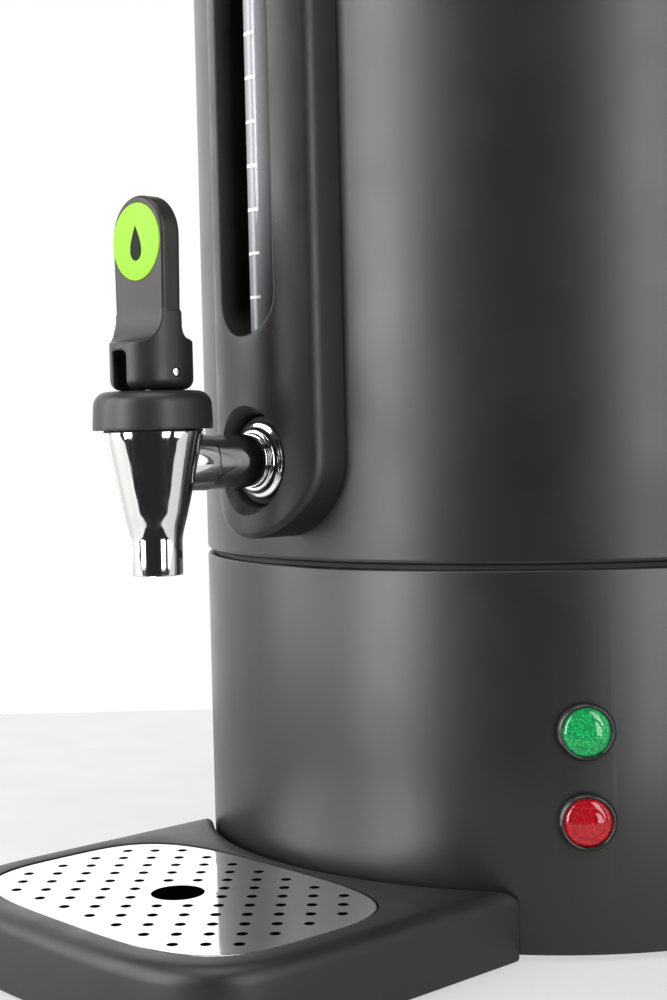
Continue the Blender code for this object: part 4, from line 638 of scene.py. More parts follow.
# %% Groove and casing
made = as_object(turned([
    (127.0, 137.4, 0), (125.4, 137.4, 0), (125.4, 127.1, 0), (127.0, 127.1, 0),
], 160), "groove_ring")
settle(made, rubber_black, "urn", "seam_ring")
sheet, roll_r = 1.2, 126.0
front_ways = [(tap_z, 9.2), (195.6, 4.8), (373.9, 4.8)]  # height and radius: shank, gauge stubs
made = as_object(turned([
    (body_r, casing_high, 0), (body_r, casing_low, 1.8), (roll_r, casing_low, 0.4),
    (roll_r, casing_low + sheet, 0.3), (body_r - sheet, casing_low + 1.4, 1.6),
    (body_r - sheet, casing_high, 0),
], 256), "casing_shell")
for height, radius in front_ways:
    hole = rod(radius, 110, 150)
    carve(made, as_object(moved(hole, from_body(0.0, height)), "hole"))
settle(made, coat_black, "urn", "outer_casing")

# %% [markdown]
# The rim that closes the gap between casing and tank is a moulded ring with an L-shaped section.
# Under it, the tank's flange hangs the tank inside the casing.

# %% Rim and tank
made = as_object(turned([
    (117.0, 405.0, 0.8), (131.9, 405.0, 1.8), (131.9, 393.8, 0.5), (130.3, 393.8, 0.3),
    (130.3, 401.4, 0), (117.0, 401.4, 0.5),
], 220), "rim_ring")
settle(made, gloss_black, "urn", "top_rim")
made = as_object(turned([
    (129.7, 401.1, 0.3), (129.7, 400.3, 0.2), (115.8, 400.3, 0.5), (115.8, 145.2, 8.0), (0, 145.2, 0),
    (0, 146.0, 0), (115.0, 146.0, 7.2), (115.0, 401.1, 1.0),
], 160), "tank_shell")
for height, radius in front_ways:
    carve(made, as_object(moved(rod(radius, 90, 150), from_body(0.0, height)), "hole"))
settle(made, steel_drawn, "urn", "inner_tank")

# %% [markdown]
# The lid is a shallow spun dome with a flat brim and a plug that drops into the tank. A vent
# hole lets steam out. The knob is turned from the same kind of profile, with a narrow waist for
# the fingers.

# %% Lid, seal and knob
made = as_object(turned([
    (0, 418.2, 0), (40, 417.2, 12), (82, 414.6, 12), (113.6, 411.2, 3.0), (117.5, 407.4, 2.6),
    (123.6, 406.9, 0.5), (124.0, 405.3, 0.5), (113.5, 405.3, 0.5), (113.5, 394.3, 0.4),
    (112.1, 394.3, 0.4), (112.1, 408.8, 3.0), (0, 416.8, 0),
], 220), "lid_dome")
vent_r, vent_out = 2.4, 62
vent = moved(rod(vent_r, 400, 425), Matrix.Translation((0, vent_out, 0)))
carve(made, as_object(vent, "vent"))
settle(made, steel_spun, "lid", "lid")
made = as_object(turned([
    (114.7, 400.3, 0.4), (114.7, 397.7, 0.4), (113.8, 396.6, 0.3), (113.8, 401.4, 0.3),
], 160), "lid_gasket")
settle(made, silicone_clear, "lid", "lid_seal")
made = as_object(turned([
    (0, 447.5, 0), (9.9, 447.2, 3.0), (16.2, 445.0, 2.0), (18.0, 441.7, 2.2), (16.9, 437.0, 2.4),
    (11.2, 431.6, 3.5), (9.9, 424.3, 3.5), (13.5, 418.5, 0.6), (2.7, 418.5, 0), (2.7, 433.0, 0),
    (0, 433.0, 0),
], 96), "knob_grip")
settle(made, gloss_black, "lid", "lid_knob")

# %% [markdown]
# The gauge housing is the most shaped part: a long stadium with a rounded nose. Its section is
# an arc of 40 mm radius, so the front is a function of how far a point lies from the middle, and
# both edges roll over in a fillet. Rings of vertices step inwards from the outer edge to the
# slot, each laid out on a stadium, and each new ring is extruded from the last.

# %% Gauge housing: rings from the outer edge to the slot
half_width, low_centre, high_centre = 26.5, tap_z, 364.5
slot_half, slot_low, slot_high = 13.5, 219.5, 350.0
edge_round, slot_round, nose_round = 2.2, 0.8, 40.0
casing_gap = 0.05
edge_steps, front_steps, lip_steps = 6, 22, 4


def stadium(half, low, high, ends=36, sides=24):
    """A long outline with round ends, from the lower end's left side and anticlockwise."""
    points = []
    for i in range(ends):
        turn = math.pi * (1 + i / ends)
        points.append((half * math.cos(turn), low + half * math.sin(turn)))
    for i in range(sides):
        points.append((half, low + (high - low) * i / sides))
    for i in range(ends):
        turn = math.pi * i / ends
        points.append((half * math.cos(turn), high + half * math.sin(turn)))
    for i in range(sides):
        points.append((-half, high + (low - high) * i / sides))
    return points


def nose_front(x):
    """How far forwards the housing's front lies, beside its middle line."""
    return nose_y + nose_round - math.sqrt(nose_round ** 2 - x ** 2)


def on_casing(x):
    """Where the housing meets the casing, a hair in front of it."""
    return -math.sqrt((body_r + casing_gap) ** 2 - x ** 2)


housing = bmesh.new()
outer = stadium(half_width, low_centre, high_centre)
ring = ring_of(housing, len(outer))
lay_out(ring, [(x, on_casing(x), z) for x, z in outer])
for share in (0.5, 1.0):
    ring = next_ring(housing, ring)
    front = [(x, nose_front(x) + edge_round, z) for x, z in outer]
    lay_out(ring, [(x, on_casing(x) + share * (y - on_casing(x)), z) for x, y, z in front])
for step in range(1, edge_steps + 1):
    turn = math.radians(90 / edge_steps * step)
    inset = edge_round * (1 - math.cos(turn))
    drop = edge_round * (1 - math.sin(turn))
    ring = next_ring(housing, ring)
    path = stadium(half_width - inset, low_centre, high_centre)
    lay_out(ring, [(x, nose_front(x) + drop, z) for x, z in path])
start = (half_width - edge_round, low_centre, high_centre)
end = (slot_half + slot_round, slot_low, slot_high)
for step in range(1, front_steps + 1):
    share = step / front_steps
    path = stadium(*[a + share * (b - a) for a, b in zip(start, end)])
    ring = next_ring(housing, ring)
    lay_out(ring, [(x, nose_front(x), z) for x, z in path])
for step in range(1, lip_steps + 1):
    turn = math.radians(90 / lip_steps * step)
    path = stadium(slot_half + slot_round * (1 - math.sin(turn)), slot_low, slot_high)
    ring = next_ring(housing, ring)
    lay_out(ring, [(x, nose_front(x) + slot_round * (1 - math.cos(turn)), z) for x, z in path])
inner = stadium(slot_half, slot_low, slot_high)
for share in (0.5, 1.0):
    ring = next_ring(housing, ring)
    start_y = [nose_front(x) + slot_round for x, _ in inner]
    lay_out(ring, [(x, y + share * (on_casing(x) - y), z) for y, (x, z) in zip(start_y, inner)])
rims = [edge for edge in housing.edges if len(edge.link_faces) == 1]
bmesh.ops.bridge_loops(housing, edges=rims)
made = as_object(housing, "gauge_cover")
print("gauge housing rings closed:", len(made.data.polygons), "faces")

# %% [markdown]
# Round the tap's shank, the housing dips into a shallow dish that seats the tap's washer. The
# dish is a turned cutter with a soft flare. Because the front is curved, the flare runs out
# differently at the sides than above and below, as it does in a mould.

# %% Gauge housing: dish for the tap
seat_y = -139.4
flare = turned([
    (0, 160, 0), (20.0, 160, 0), (19.6, 150.2, 0), (17.6, 148.0, 2.4), (16.2, 144.6, 2.0),
    (15.4, -seat_y, 0.3), (0, -seat_y, 0),
], 96)
carve(made, as_object(moved(flare, from_body(0.0, tap_z)), "dish"))
saddle_r = 9.3
shank_way = rod(saddle_r, 120, 145)
carve(made, as_object(moved(shank_way, from_body(0.0, tap_z)), "shank_way"))
settle(made, plastic_black, "urn", "gauge_housing")

# %% [markdown]
# The sight glass is a tube with a real bore. Its marks are short printed arcs that wrap a part of
# the tube's front. Each is a thin arc strip, made by spinning a small rectangle a few degrees.

# %% Sight glass and its marks
glass_y = -137.0
glass_r, glass_bore, glass_low, glass_high = 6.0, 4.7, 196.7, 372.8
at_glass = Matrix.Translation((0, glass_y, 0))
glass = turned([
    (glass_r, glass_low, 0.4), (glass_r, glass_high, 0.4), (glass_bore, glass_high, 0.3),
    (glass_bore, glass_low, 0.3),
], 64)
settle(as_object(moved(glass, at_glass), "gauge_tube"), tube_clear, "urn", "sight_glass")
mark_count, mark_low, mark_pitch = 10, 219.07, 14.7
mark_half_angle, mark_half_thick = 26, 0.5


def mark(height, half_angle, thick):
    """One arc strip, half_angle to either side of the front."""
    strip = bmesh.new()
    near, far = glass_r + 0.02, glass_r + 0.12
    section_points = ((near, -thick), (far, -thick), (far, thick), (near, thick))
    strip.faces.new([strip.verts.new((r, 0, z)) for r, z in section_points])
    moved(strip, Matrix.Rotation(math.radians(-90 - half_angle), 4, "Z"))
    bmesh.ops.spin(
        strip, geom=strip.verts[:] + strip.edges[:] + strip.faces[:], cent=(0, 0, 0), axis=(0, 0, 1),
        angle=math.radians(2 * half_angle), steps=8, use_merge=False,
    )
    return moved(strip, Matrix.Translation((0, glass_y, height)))


marks = bmesh.new()
for index in range(mark_count):
    strip = mark(mark_low + mark_pitch * index, mark_half_angle, mark_half_thick)
    mesh = bpy.data.meshes.new("mark")
    strip.to_mesh(mesh)
    marks.from_mesh(mesh)
    bpy.data.meshes.remove(mesh)
    strip.free()
made = as_object(marks, "gauge_marks")
settle(made, print_white, "urn")

# %% [markdown]
# Both ends of the tube sit in a small holder, with a stub that leads through the casing to the
# tank. The upper holder is the lower one upside down, so its profile runs the other way.

# %% Holders of the tube
holder_r, socket_r, socket_deep, stub_r = 8.2, 6.3, 7.5, 4.5
for level, closed_end, open_end in (("lower", 187.4, 203.9), ("upper", 382.1, 365.6)):
    into = math.copysign(socket_deep, closed_end - open_end)
    body = turned([
        (0, closed_end, 0), (holder_r, closed_end, 1.0), (holder_r, open_end, 0.8),
        (socket_r, open_end, 0.3), (socket_r, open_end + into, 0), (0, open_end + into, 0),
    ], 48)
    made = as_object(moved(body, at_glass), f"{level}_tube_holder")
    stub = moved(rod(stub_r, 109, 131), from_body(0.0, (closed_end + open_end) / 2))
    carve(made, as_object(stub, "stub"), "UNION")
    settle(made, gloss_black, "urn", f"gauge_{level}_fitting")

# %% [markdown]
# The tap is a casting: an upright cone that ends in a short spout, and a shank that carries it
# from the urn. Cone and shank are two turned shapes joined into one solid. The cone is very
# slightly convex, so it has more profile points than its ends need.

# %% Tap: cone, shank and saddle
at_tap = Matrix.Translation((0, tap_y, 0))
cone_shape = turned([
    (0, 183.2, 0), (15.8, 183.2, 0.6), (15.8, 174.9, 0.3), (16.2, 174.3, 0.5), (15.2, 169.3, 2.0),
    (13.2, 160.6, 3.0), (11.1, 150.9, 3.0), (10.15, 147.0, 1.5), (9.1, 143.3, 1.4), (8.4, 140.0, 1.2),
    (8.35, 128.4, 0.4), (0, 128.4, 0),
], 128)
made = as_object(moved(cone_shape, at_tap), "tap_casting")
shank_r = 9.0
shank_shape = turned([
    (0, 104.0, 0), (shank_r, 104.0, 0.6), (shank_r, 166.2, 0.2), (saddle_r, 166.7, 0.3),
    (saddle_r, 181.0, 0), (0, 181.0, 0),
], 96)
carve(made, as_object(moved(shank_shape, from_body(0.0, tap_z)), "shank"), "UNION")
print("casting before its hollow:", len(made.data.polygons), "faces")

# %% [markdown]
# The casting is hollow: the valve's stem, cup and spring move in a tapered chamber that ends in
# a narrow seat over the spout. The hollow is one more turned shape, taken away at the end, so
# that it also clears the shank's inner end out of the chamber.

# %% Tap: the chamber inside
bore_shape = turned([
    (0, 190.0, 0), (13.5, 190.0, 0), (13.5, 174.2, 0), (7.75, 144.8, 0), (4.6, 144.8, 0), (4.6, 142.8, 0),
    (6.5, 139.8, 0), (6.5, 128.8, 0), (6.9, 128.0, 0), (6.9, 120.0, 0), (0, 120.0, 0),
], 96)
carve(made, as_object(moved(bore_shape, at_tap), "bore"))
settle(made, chrome, "urn", "tap_body", sharp=28)

# %% [markdown]
# A rubber washer seals the shank against the housing, and a stepped chrome disc covers it. Both
# are turned about the shank, so their profiles are given outwards from the urn's axis.

# %% Tap: washer and cover disc
washer = turned([
    (9.4, -seat_y + 0.25, 0.3), (15.1, -seat_y + 0.25, 0.5), (15.1, 141.2, 0.6), (9.4, 141.2, 0.3),
], 96)
settle(as_object(moved(washer, from_body(0.0, tap_z)), "seat_washer"), rubber_black, "urn", "tap_washer")
disc = turned([
    (9.2, 141.6, 0), (13.0, 141.6, 0.2), (13.0, 143.2, 0.7), (10.9, 143.5, 0.6), (10.6, 145.8, 0.9),
    (9.2, 145.8, 0.3),
], 96)
settle(as_object(moved(disc, from_body(0.0, tap_z)), "cover_disc"), chrome, "urn", "tap_escutcheon")

# %% [markdown]
# The bonnet is a round cap that screws over the casting's neck. Its top edge is a large fillet,
# made by a wide rounding of one profile point, and the stem comes out through its middle.

# %% Tap: bonnet
bonnet = turned([
    (0, 187.4, 0), (18.75, 187.4, 4.4), (19.3, 176.5, 1.0), (19.3, 175.1, 0.5), (16.5, 175.1, 0.4),
    (16.5, 184.4, 0), (0, 184.4, 0),
], 128)
made = as_object(moved(bonnet, at_tap), "tap_cap")
stem_way_r = 3.2
carve(made, as_object(moved(rod(stem_way_r, 180, 190), at_tap), "stem_way"))
settle(made, plastic_black, "urn", "tap_bonnet")

# %% [markdown]
# The lever is one moulding: a round barrel with a flat paddle above it. Seen from the side it
# is one outline with soft inner corners, so that outline is drawn, its corners are rounded with
# a vertex bevel, and it is extruded to full width. What lies inside the barrel's cylinder is
# kept.

# %% Lever: side outline and barrel
def flat_outline(points, thick, start):
    """A closed outline of (a, b, rounding) points in the YZ plane, extruded along X."""
    shape = bmesh.new()
    corners = [shape.verts.new((start, a, b)) for a, b, _ in points]
    for index, corner in enumerate(corners):
        shape.edges.new((corner, corners[(index + 1) % len(corners)]))
    for corner, (_, _, rounding) in zip(corners, points):
        if rounding:
            bmesh.ops.bevel(
                shape, geom=[corner], offset=rounding, offset_type="OFFSET", affect="VERTICES",
                segments=6, profile=0.5, material=-1,
            )
    face = bmesh.ops.contextual_create(shape, geom=shape.edges[:])["faces"]
    grown = bmesh.ops.extrude_face_region(shape, geom=face)["geom"]
    tops = [item for item in grown if isinstance(item, bmesh.types.BMVert)]
    bmesh.ops.translate(shape, vec=(thick, 0, 0), verts=tops)
    return shape


lever_low, lever_high, barrel_top, lever_r = 187.7, 249.5, 203.2, 13.3
face_y, back_y = tap_y - 4.6, tap_y + 2.9
outline_half = 14.5  # wider than the barrel, which trims it
side = flat_outline([
    (tap_y - lever_r, lever_low, 4.2), (tap_y - lever_r, barrel_top - 0.6, 1.4),
    (tap_y - 8.2, barrel_top + 0.4, 1.5), (face_y, barrel_top + 4.5, 4.0), (face_y, barrel_top + 9, 0),
    (back_y, barrel_top + 9, 0), (back_y + 0.2, barrel_top + 1.2, 2.5),
    (tap_y + lever_r, barrel_top - 0.6, 1.6), (tap_y + lever_r, lever_low, 2.0),
], 2 * outline_half, -outline_half)
lever = as_object(side, "lever_handle")
drum = turned([(0, 230, 0), (lever_r, 230, 0), (lever_r, lever_low, 3.4), (0, lever_low, 0)], 128)
carve(lever, as_object(moved(drum, at_tap), "drum"), "INTERSECT")
print("barrel:", len(lever.data.polygons), "faces")

# %% [markdown]
# The paddle has a half-round top and sides that draw in a little towards the barrel. Its outline
# is laid out on one ring and extruded to its thickness, its edges are bevelled, and it is joined
# to the barrel.

# %% Lever: paddle
arc_points, side_points = 48, 8
narrowing, paddle_drop = 0.9, 38.5
paddle = bmesh.new()
ring = ring_of(paddle, arc_points + 2 * side_points)
path = []
for i in range(arc_points):
    turn = math.pi * i / (arc_points - 1)
    path.append((lever_r * math.cos(turn), lever_high - lever_r + lever_r * math.sin(turn)))
for i in range(side_points):
    share = (i + 1) / side_points
    path.append((-lever_r + narrowing * share, lever_high - lever_r - share * paddle_drop))
for i in range(side_points):
    share = 1 - i / side_points
    path.append((lever_r - narrowing * share, lever_high - lever_r - share * paddle_drop))
lay_out(ring, [(x, face_y, z) for x, z in path])
bottom = ring
ring = next_ring(paddle, ring)
lay_out(ring, [(x, back_y, z) for x, z in path])
cap(paddle, bottom)
cap(paddle, ring)
flat_edges = [edge for edge in paddle.edges if abs(edge.verts[0].co.y - edge.verts[1].co.y) < 0.01]
bmesh.ops.bevel(
    paddle, geom=flat_edges, offset=1.3, offset_type="OFFSET", affect="EDGES", segments=4, profile=0.5,
    material=-1,
)
carve(lever, as_object(paddle, "paddle"), "UNION")
print("lever before melting:", len(lever.data.polygons), "faces")

# %% [markdown]
# The stem's eye stands in a slot in the barrel. After the slot is cut, a voxel remesh melts all
# joints into one skin and a few smoothing steps turn them into soft fillets. A remesh has to
# start from a closed mesh, or it drops whole regions. Crisp details, the badge's seat and the
# hole for the pin, are cut afterwards.

# %% Lever: slot, melting of the joints, badge seat and pin hole
slot_half_wide, slot_top, pin_z = 3.6, 200.2, 193.1
slot = block(
    (-slot_half_wide, tap_y - 20, lever_low - 5), (slot_half_wide, tap_y + 4.0, slot_top), 1.6
)
carve(lever, as_object(slot, "slot"))
melt = lever.modifiers.new("melt", "REMESH")
melt.mode = "VOXEL"
melt.voxel_size = 0.0004
ease = lever.modifiers.new("ease", "SMOOTH")
ease.factor = 0.5
ease.iterations = 5
graph = bpy.context.evaluated_depsgraph_get()
melted = bpy.data.meshes.new_from_object(lever.evaluated_get(graph))
lever.modifiers.clear()
lever.data = melted
badge_z, badge_r, badge_seat = 234.8, 12.35, 0.35
seat = moved(rod(badge_r + 0.15, -face_y - badge_seat, 215.0, 96), from_body(0.0, badge_z))
carve(lever, as_object(seat, "seat"))
along_pin = Matrix.Translation((0, tap_y, pin_z)) @ Matrix.Rotation(math.pi / 2, 4, "Y")
carve(lever, as_object(moved(rod(1.6, -20, 20), along_pin), "pin_way"))
settle(lever, plastic_black, "lever", "tap_lever", sharp=50)

# %% [markdown]
# A chrome pin crosses the lever and hinges it to the stem. It ends just short of the barrel's
# sides, where its two round ends show.

# %% Lever: pin
pin_r, pin_half = 1.35, 13.1
pin = turned([
    (0, -pin_half, 0), (pin_r, -pin_half, 0.3), (pin_r, pin_half, 0.3), (0, pin_half, 0),
], 32)
settle(as_object(moved(pin, along_pin), "hinge_pin"), chrome, "lever", "lever_pin")

# %% [markdown]
# The badge is a low disc with a rounded edge. Its mark is a plain drop of water, laid out on a
# ring of vertices whose upper end narrows to a point, then extruded by the thickness of ink.

# %% Badge and its drop
badge = turned([
    (0, -face_y + 0.35, 0), (badge_r, -face_y + 0.35, 0.35), (badge_r, -face_y - 0.3, 0),
    (0, -face_y - 0.3, 0),
], 96)
settle(as_object(moved(badge, from_body(0.0, badge_z)), "badge_disc"), badge_lime, "lever", "lever_badge")
drop = bmesh.new()
drop_points, drop_half_wide, drop_half_high, drop_sink = 48, 4.0, 5.6, 0.4
ring = ring_of(drop, drop_points)
path = []
for i in range(drop_points):
    turn = 2 * math.pi * i / drop_points
    width = drop_half_wide * math.sin(turn) * (math.sin(turn / 2) ** 1.3)
    path.append((width, badge_z + drop_half_high * math.cos(turn) - drop_sink))
lay_out(ring, [(x, face_y - 0.34, z) for x, z in path])
back = ring
ring = next_ring(drop, ring)
lay_out(ring, [(x, face_y - 0.42, z) for x, z in path])
cap(drop, back)
cap(drop, ring)
made = as_object(drop, "badge_drop")
settle(made, badge_ink, "lever")

# %% [markdown]
# The drip tray is a squircle in plan: flatter than an ellipse, rounder than a rectangle. Its
# sides run back under the tap to the urn and end in an arc that fits the housing. One ring of
# vertices climbs the outer wall, rounds over the edge, crosses the top to the grid's seat, and
# goes down into the pocket.

# %% Drip tray
tray_half, tray_deep, tray_top, tray_round = 78.8, 55.0, 24.1, 5.5
grid_half_x, grid_half_y = 67.4, 43.8
urn_gap_r = 130.6  # the arc that fits round the housing
power = 3.6
front_points, straight_points, arc_points = 96, 16, 64


def squircle_point(turn, half_x, half_y):
    """A point of the tray's outline, at an angle seen from the grid's middle."""
    cos, sin = math.cos(turn), math.sin(turn)
    reach = (abs(cos) ** power + abs(sin) ** power) ** (-1 / power)
    return half_x * reach * cos, tray_y + half_y * reach * sin


def tray_path(inset):
    """Front half squircle, straight sides, and an arc at the urn, all set inwards."""
    points = []
    half = tray_half - inset
    for i in range(front_points + 1):
        points.append(squircle_point(math.pi * (1 + i / front_points), half, tray_deep - inset))
    reach = urn_gap_r + inset
    end_turn = math.asin(half / reach)
    end_y = -reach * math.cos(end_turn)
    for i in range(1, straight_points + 1):
        points.append((half, tray_y + (end_y - tray_y) * i / straight_points))
    for i in range(1, arc_points):
        turn = end_turn * (1 - 2 * i / arc_points)
        points.append((reach * math.sin(turn), -reach * math.cos(turn)))
    for i in range(straight_points):
        points.append((-half, end_y + (tray_y - end_y) * i / straight_points))
    return points


def grid_path(half_x, half_y):
    """A full squircle with the same number of points as the tray's outline."""
    turns = [math.atan2((y - tray_y) / half_y, x / half_x) for x, y in tray_path(0.0)]
    return [squircle_point(turn, half_x, half_y) for turn in turns]


tray = bmesh.new()
ring = ring_of(tray, len(tray_path(0.0)))
lay_out(ring, [(x, y, 0.0) for x, y in tray_path(0.8)])
underside = ring
for inset, height in ((0.2, 0.35), (0.0, 1.2), (0.0, 9.0), (0.0, tray_top - tray_round)):
    ring = next_ring(tray, ring)
    lay_out(ring, [(x, y, height) for x, y in tray_path(inset)])
for step in range(1, 7):
    turn = math.radians(15 * step)
    ring = next_ring(tray, ring)
    inset, height = tray_round * (1 - math.cos(turn)), tray_top - tray_round * (1 - math.sin(turn))
    lay_out(ring, [(x, y, height) for x, y in tray_path(inset)])
for grow, height in (
    (0.9, tray_top), (0.5, tray_top - 0.15), (0.5, 22.5), (-3.5, 22.5), (-4.0, 5.0), (-6.0, 4.0),
):
    ring = next_ring(tray, ring)
    lay_out(ring, [(x, y, height) for x, y in grid_path(grid_half_x + grow, grid_half_y + grow)])
cap(tray, ring)
cap(tray, underside)
made = as_object(tray, "drip_pan")
settle(made, plastic_black, "tray", "drip_tray")

# %% [markdown]
# The grid is a thin plate with small holes in a diagonal pattern and a large drain in the
# middle. The plate's edge is rounded, which draws one bright line round it. All holes are cut
# with one tool, so the Boolean runs once.

# %% Drip grid
edge_points = 192
hole_r, drain_r, drill_z, drill_long = 1.77, 8.8, 23.4, 10
pitch_x, pitch_y, clear_of_drain, corner_reach = 14.2, 13.8, 11.6, 5.75
plate = bmesh.new()
ring = ring_of(plate, edge_points)
turns = [2 * math.pi * i / edge_points for i in range(edge_points)]
lay_out(ring, [(*squircle_point(turn, grid_half_x - 0.4, grid_half_y - 0.4), 22.85) for turn in turns])
bottom = ring
for inset, height in ((0.0, 23.2), (0.0, 23.45), (0.12, 23.66), (0.35, 23.8), (1.4, 23.86)):
    ring = next_ring(plate, ring)
    lay_out(ring, [
        (*squircle_point(turn, grid_half_x - inset, grid_half_y - inset), height) for turn in turns
    ])
cap(plate, ring)
cap(plate, bottom)
made = as_object(plate, "drip_plate")
drills = bmesh.new()
count = 0
for i in range(17):
    for j in range(11):
        u, v = i / 2 - 4, j / 2 - 2.5
        x, y = pitch_x * u, pitch_y * v
        if (i + j) % 2 or abs(u) + abs(v) > corner_reach or math.hypot(x, y) < clear_of_drain:
            continue
        bmesh.ops.create_cone(
            drills, cap_ends=True, segments=20, radius1=hole_r, radius2=hole_r, depth=drill_long,
            matrix=Matrix.Translation((x, tray_y + y, drill_z)),
        )
        count += 1
bmesh.ops.create_cone(
    drills, cap_ends=True, segments=72, radius1=drain_r, radius2=drain_r, depth=drill_long,
    matrix=Matrix.Translation((0, tray_y, drill_z)),
)
carve(made, as_object(drills, "drills"))
settle(made, steel_polished, "grid", "drip_grid")
print("drain holes:", count)

# %% [markdown]
# Each lamp has a black bezel with a flared lip, a clear coloured lens that stands a little proud
# of it, and a pebbled disc behind the lens. All three are turned about an axis that points
# outwards from the urn.

# %% Lamps
lamp_looks = {"green": (lens_green, pebbles_green_painted_glints), "red": (lens_red, pebbles_red_painted_glints)}
for colour, height in lamp_heights:
    outwards = from_body(lamp_turn, height)
    lens_look, disc_look = lamp_looks[colour]
    bezel = turned([
        (7.9, 132.5, 0.3), (8.6, 132.9, 0.4), (9.65, 131.4, 0.8), (9.65, 130.1, 0.2), (8.6, 129.8, 0),
        (8.6, 119.0, 0), (7.9, 119.0, 0),
    ], 96)
    settle(as_object(moved(bezel, outwards), f"{colour}_bezel"), gloss_black, "urn", f"{colour}_lamp_bezel")
    lens = turned([
        (0, 133.7, 0), (3.0, 133.6, 1.0), (5.0, 133.1, 0.4), (5.3, 133.2, 0.2), (6.6, 132.8, 0.8),
        (7.75, 131.9, 0.4), (7.75, 130.6, 0.1), (6.4, 131.0, 0.4), (0, 131.6, 0),
    ], 96)
    settle(as_object(moved(lens, outwards), f"{colour}_lens"), lens_look, "urn", f"{colour}_lamp_lens")
    disc = turned([
        (0, 130.4, 0), (5.1, 130.2, 0.3), (5.6, 129.8, 0.3), (7.7, 130.3, 0.2), (7.7, 126.0, 0),
        (0, 126.0, 0),
    ], 64)
    made = as_object(moved(disc, outwards), f"{colour}_pebbles")
    settle(made, disc_look, "urn")

# %% [markdown]
# The side handles are bent grips with a rounded section. The grip's path is a staple shape with
# two round bends. A ring of vertices with the section's outline is moved along the path and
# turned with it. Both roots run into the casing, which hides their ends.

# %% Side handles
grip_half_wide, grip_half_high, grip_power = 6.5, 8.0, 3.4
handle_z = (low_of("left_handle").z + high_of("left_handle").z) / 2
middle, tip, bend = 52.0 - grip_half_wide, 166.0 - grip_half_wide, 17.5
root_in, root_out = 122.0, 131.0
bend_steps, straight_steps, section_points = 12, 8, 24


def grip_section():
    """The grip's outline across its path, as (sideways, upwards) points."""
    points = []
    for i in range(section_points):
        turn = 2 * math.pi * i / section_points
        cos, sin = math.cos(turn), math.sin(turn)
        reach = (abs(cos) ** grip_power + abs(sin) ** grip_power) ** (-1 / grip_power)
        points.append((grip_half_wide * reach * cos, grip_half_high * reach * sin))
    return points


def grip_path():
    """The grip's path as (outwards, backwards, heading) points, from its front root to its rear one."""
    path = [(root_in, -middle, 0.0), (root_out, -middle, 0.0)]
    for i in range(bend_steps + 1):
        heading = math.radians(90 * i / bend_steps)
        turn = heading - math.pi / 2
        path.append((
            tip - bend + bend * math.cos(turn), -middle + bend + bend * math.sin(turn), heading,
        ))
    for i in range(1, straight_steps):
        path.append((tip, (-middle + bend) * (1 - 2 * i / straight_steps), math.pi / 2))
    for i in range(bend_steps + 1):
        turn = math.radians(90 * i / bend_steps)
        path.append((
            tip - bend + bend * math.cos(turn), middle - bend + bend * math.sin(turn), math.pi / 2 + turn,
        ))
    return path + [(root_out, middle, math.pi), (root_in, middle, math.pi)]


for side_name, sign in (("left", -1), ("right", 1)):
    grip = bmesh.new()
    ring = ring_of(grip, section_points)
    first = ring
    for index, (x, y, heading) in enumerate(grip_path()):
        if index:
            ring = next_ring(grip, ring)
        lay_out(ring, [
            (sign * (x + a * math.sin(heading)), y - a * math.cos(heading), handle_z + b)
            for a, b in grip_section()
        ])
    cap(grip, first)
    cap(grip, ring)
    made = as_object(grip, f"{side_name}_grip")
    settle(made, plastic_black, "urn", f"{side_name}_handle")

# %% [markdown]
# At the back, a moulded plate carries the power inlet and the rocker switch. The plate follows
# the housing, so it is a rounded block whose back is cut away by the housing's own cylinder.

# %% Rear plate, inlet and rocker
plate = as_object(block((-27, 118, 26), (27, 133, 100), 2.2, 4), "rear_plate")
core = rod(body_r + 0.1, 10, 110, 200)
carve(plate, as_object(core, "core"))
carve(plate, as_object(block((-13.6, 110, 36), (13.6, 140, 56)), "inlet_way"))
carve(plate, as_object(block((-10.6, 110, 64.4), (10.6, 140, 93.6)), "switch_way"))
settle(plate, plastic_black, "urn", "inlet_plate")

inlet = as_object(block((-15, 133.2, 34.5), (15, 135.1, 57.5), 0.8), "inlet_socket")
carve(inlet, as_object(block((-13.4, 113.3, 36.1), (13.4, 134.0, 55.9), 0.6), "shell"), "UNION")
carve(inlet, as_object(block((-11.9, 117.0, 37.6), (11.9, 140, 54.4), 1.6), "mouth"))
for x, z in ((-7.0, 44.6), (7.0, 44.6), (0.0, 49.4)):
    pin = block((x - 1.0, 115.0, z - 2.0), (x + 1.0, 131.2, z + 2.0), 0.4)
    carve(inlet, as_object(pin, "pin"), "UNION")
settle(inlet, gloss_black, "urn", "power_inlet")

switch = as_object(block((-12, 133.2, 63.0), (12, 135.1, 95.0), 0.8), "switch_frame")
carve(switch, as_object(block((-10.4, 117.3, 64.6), (10.4, 134.0, 93.4), 0.6), "shell"), "UNION")
carve(switch, as_object(block((-8.5, 119.0, 66.4), (8.5, 140, 91.6), 0.5), "well"))
settle(switch, gloss_black, "urn", "rocker_frame")

# %% [markdown]
# Inside, the coffee basket is punched all over. Its holes are cut with one tool built from many
# small rods, as in the drip grid: circles of them in the floor, and staggered rows in the wall.

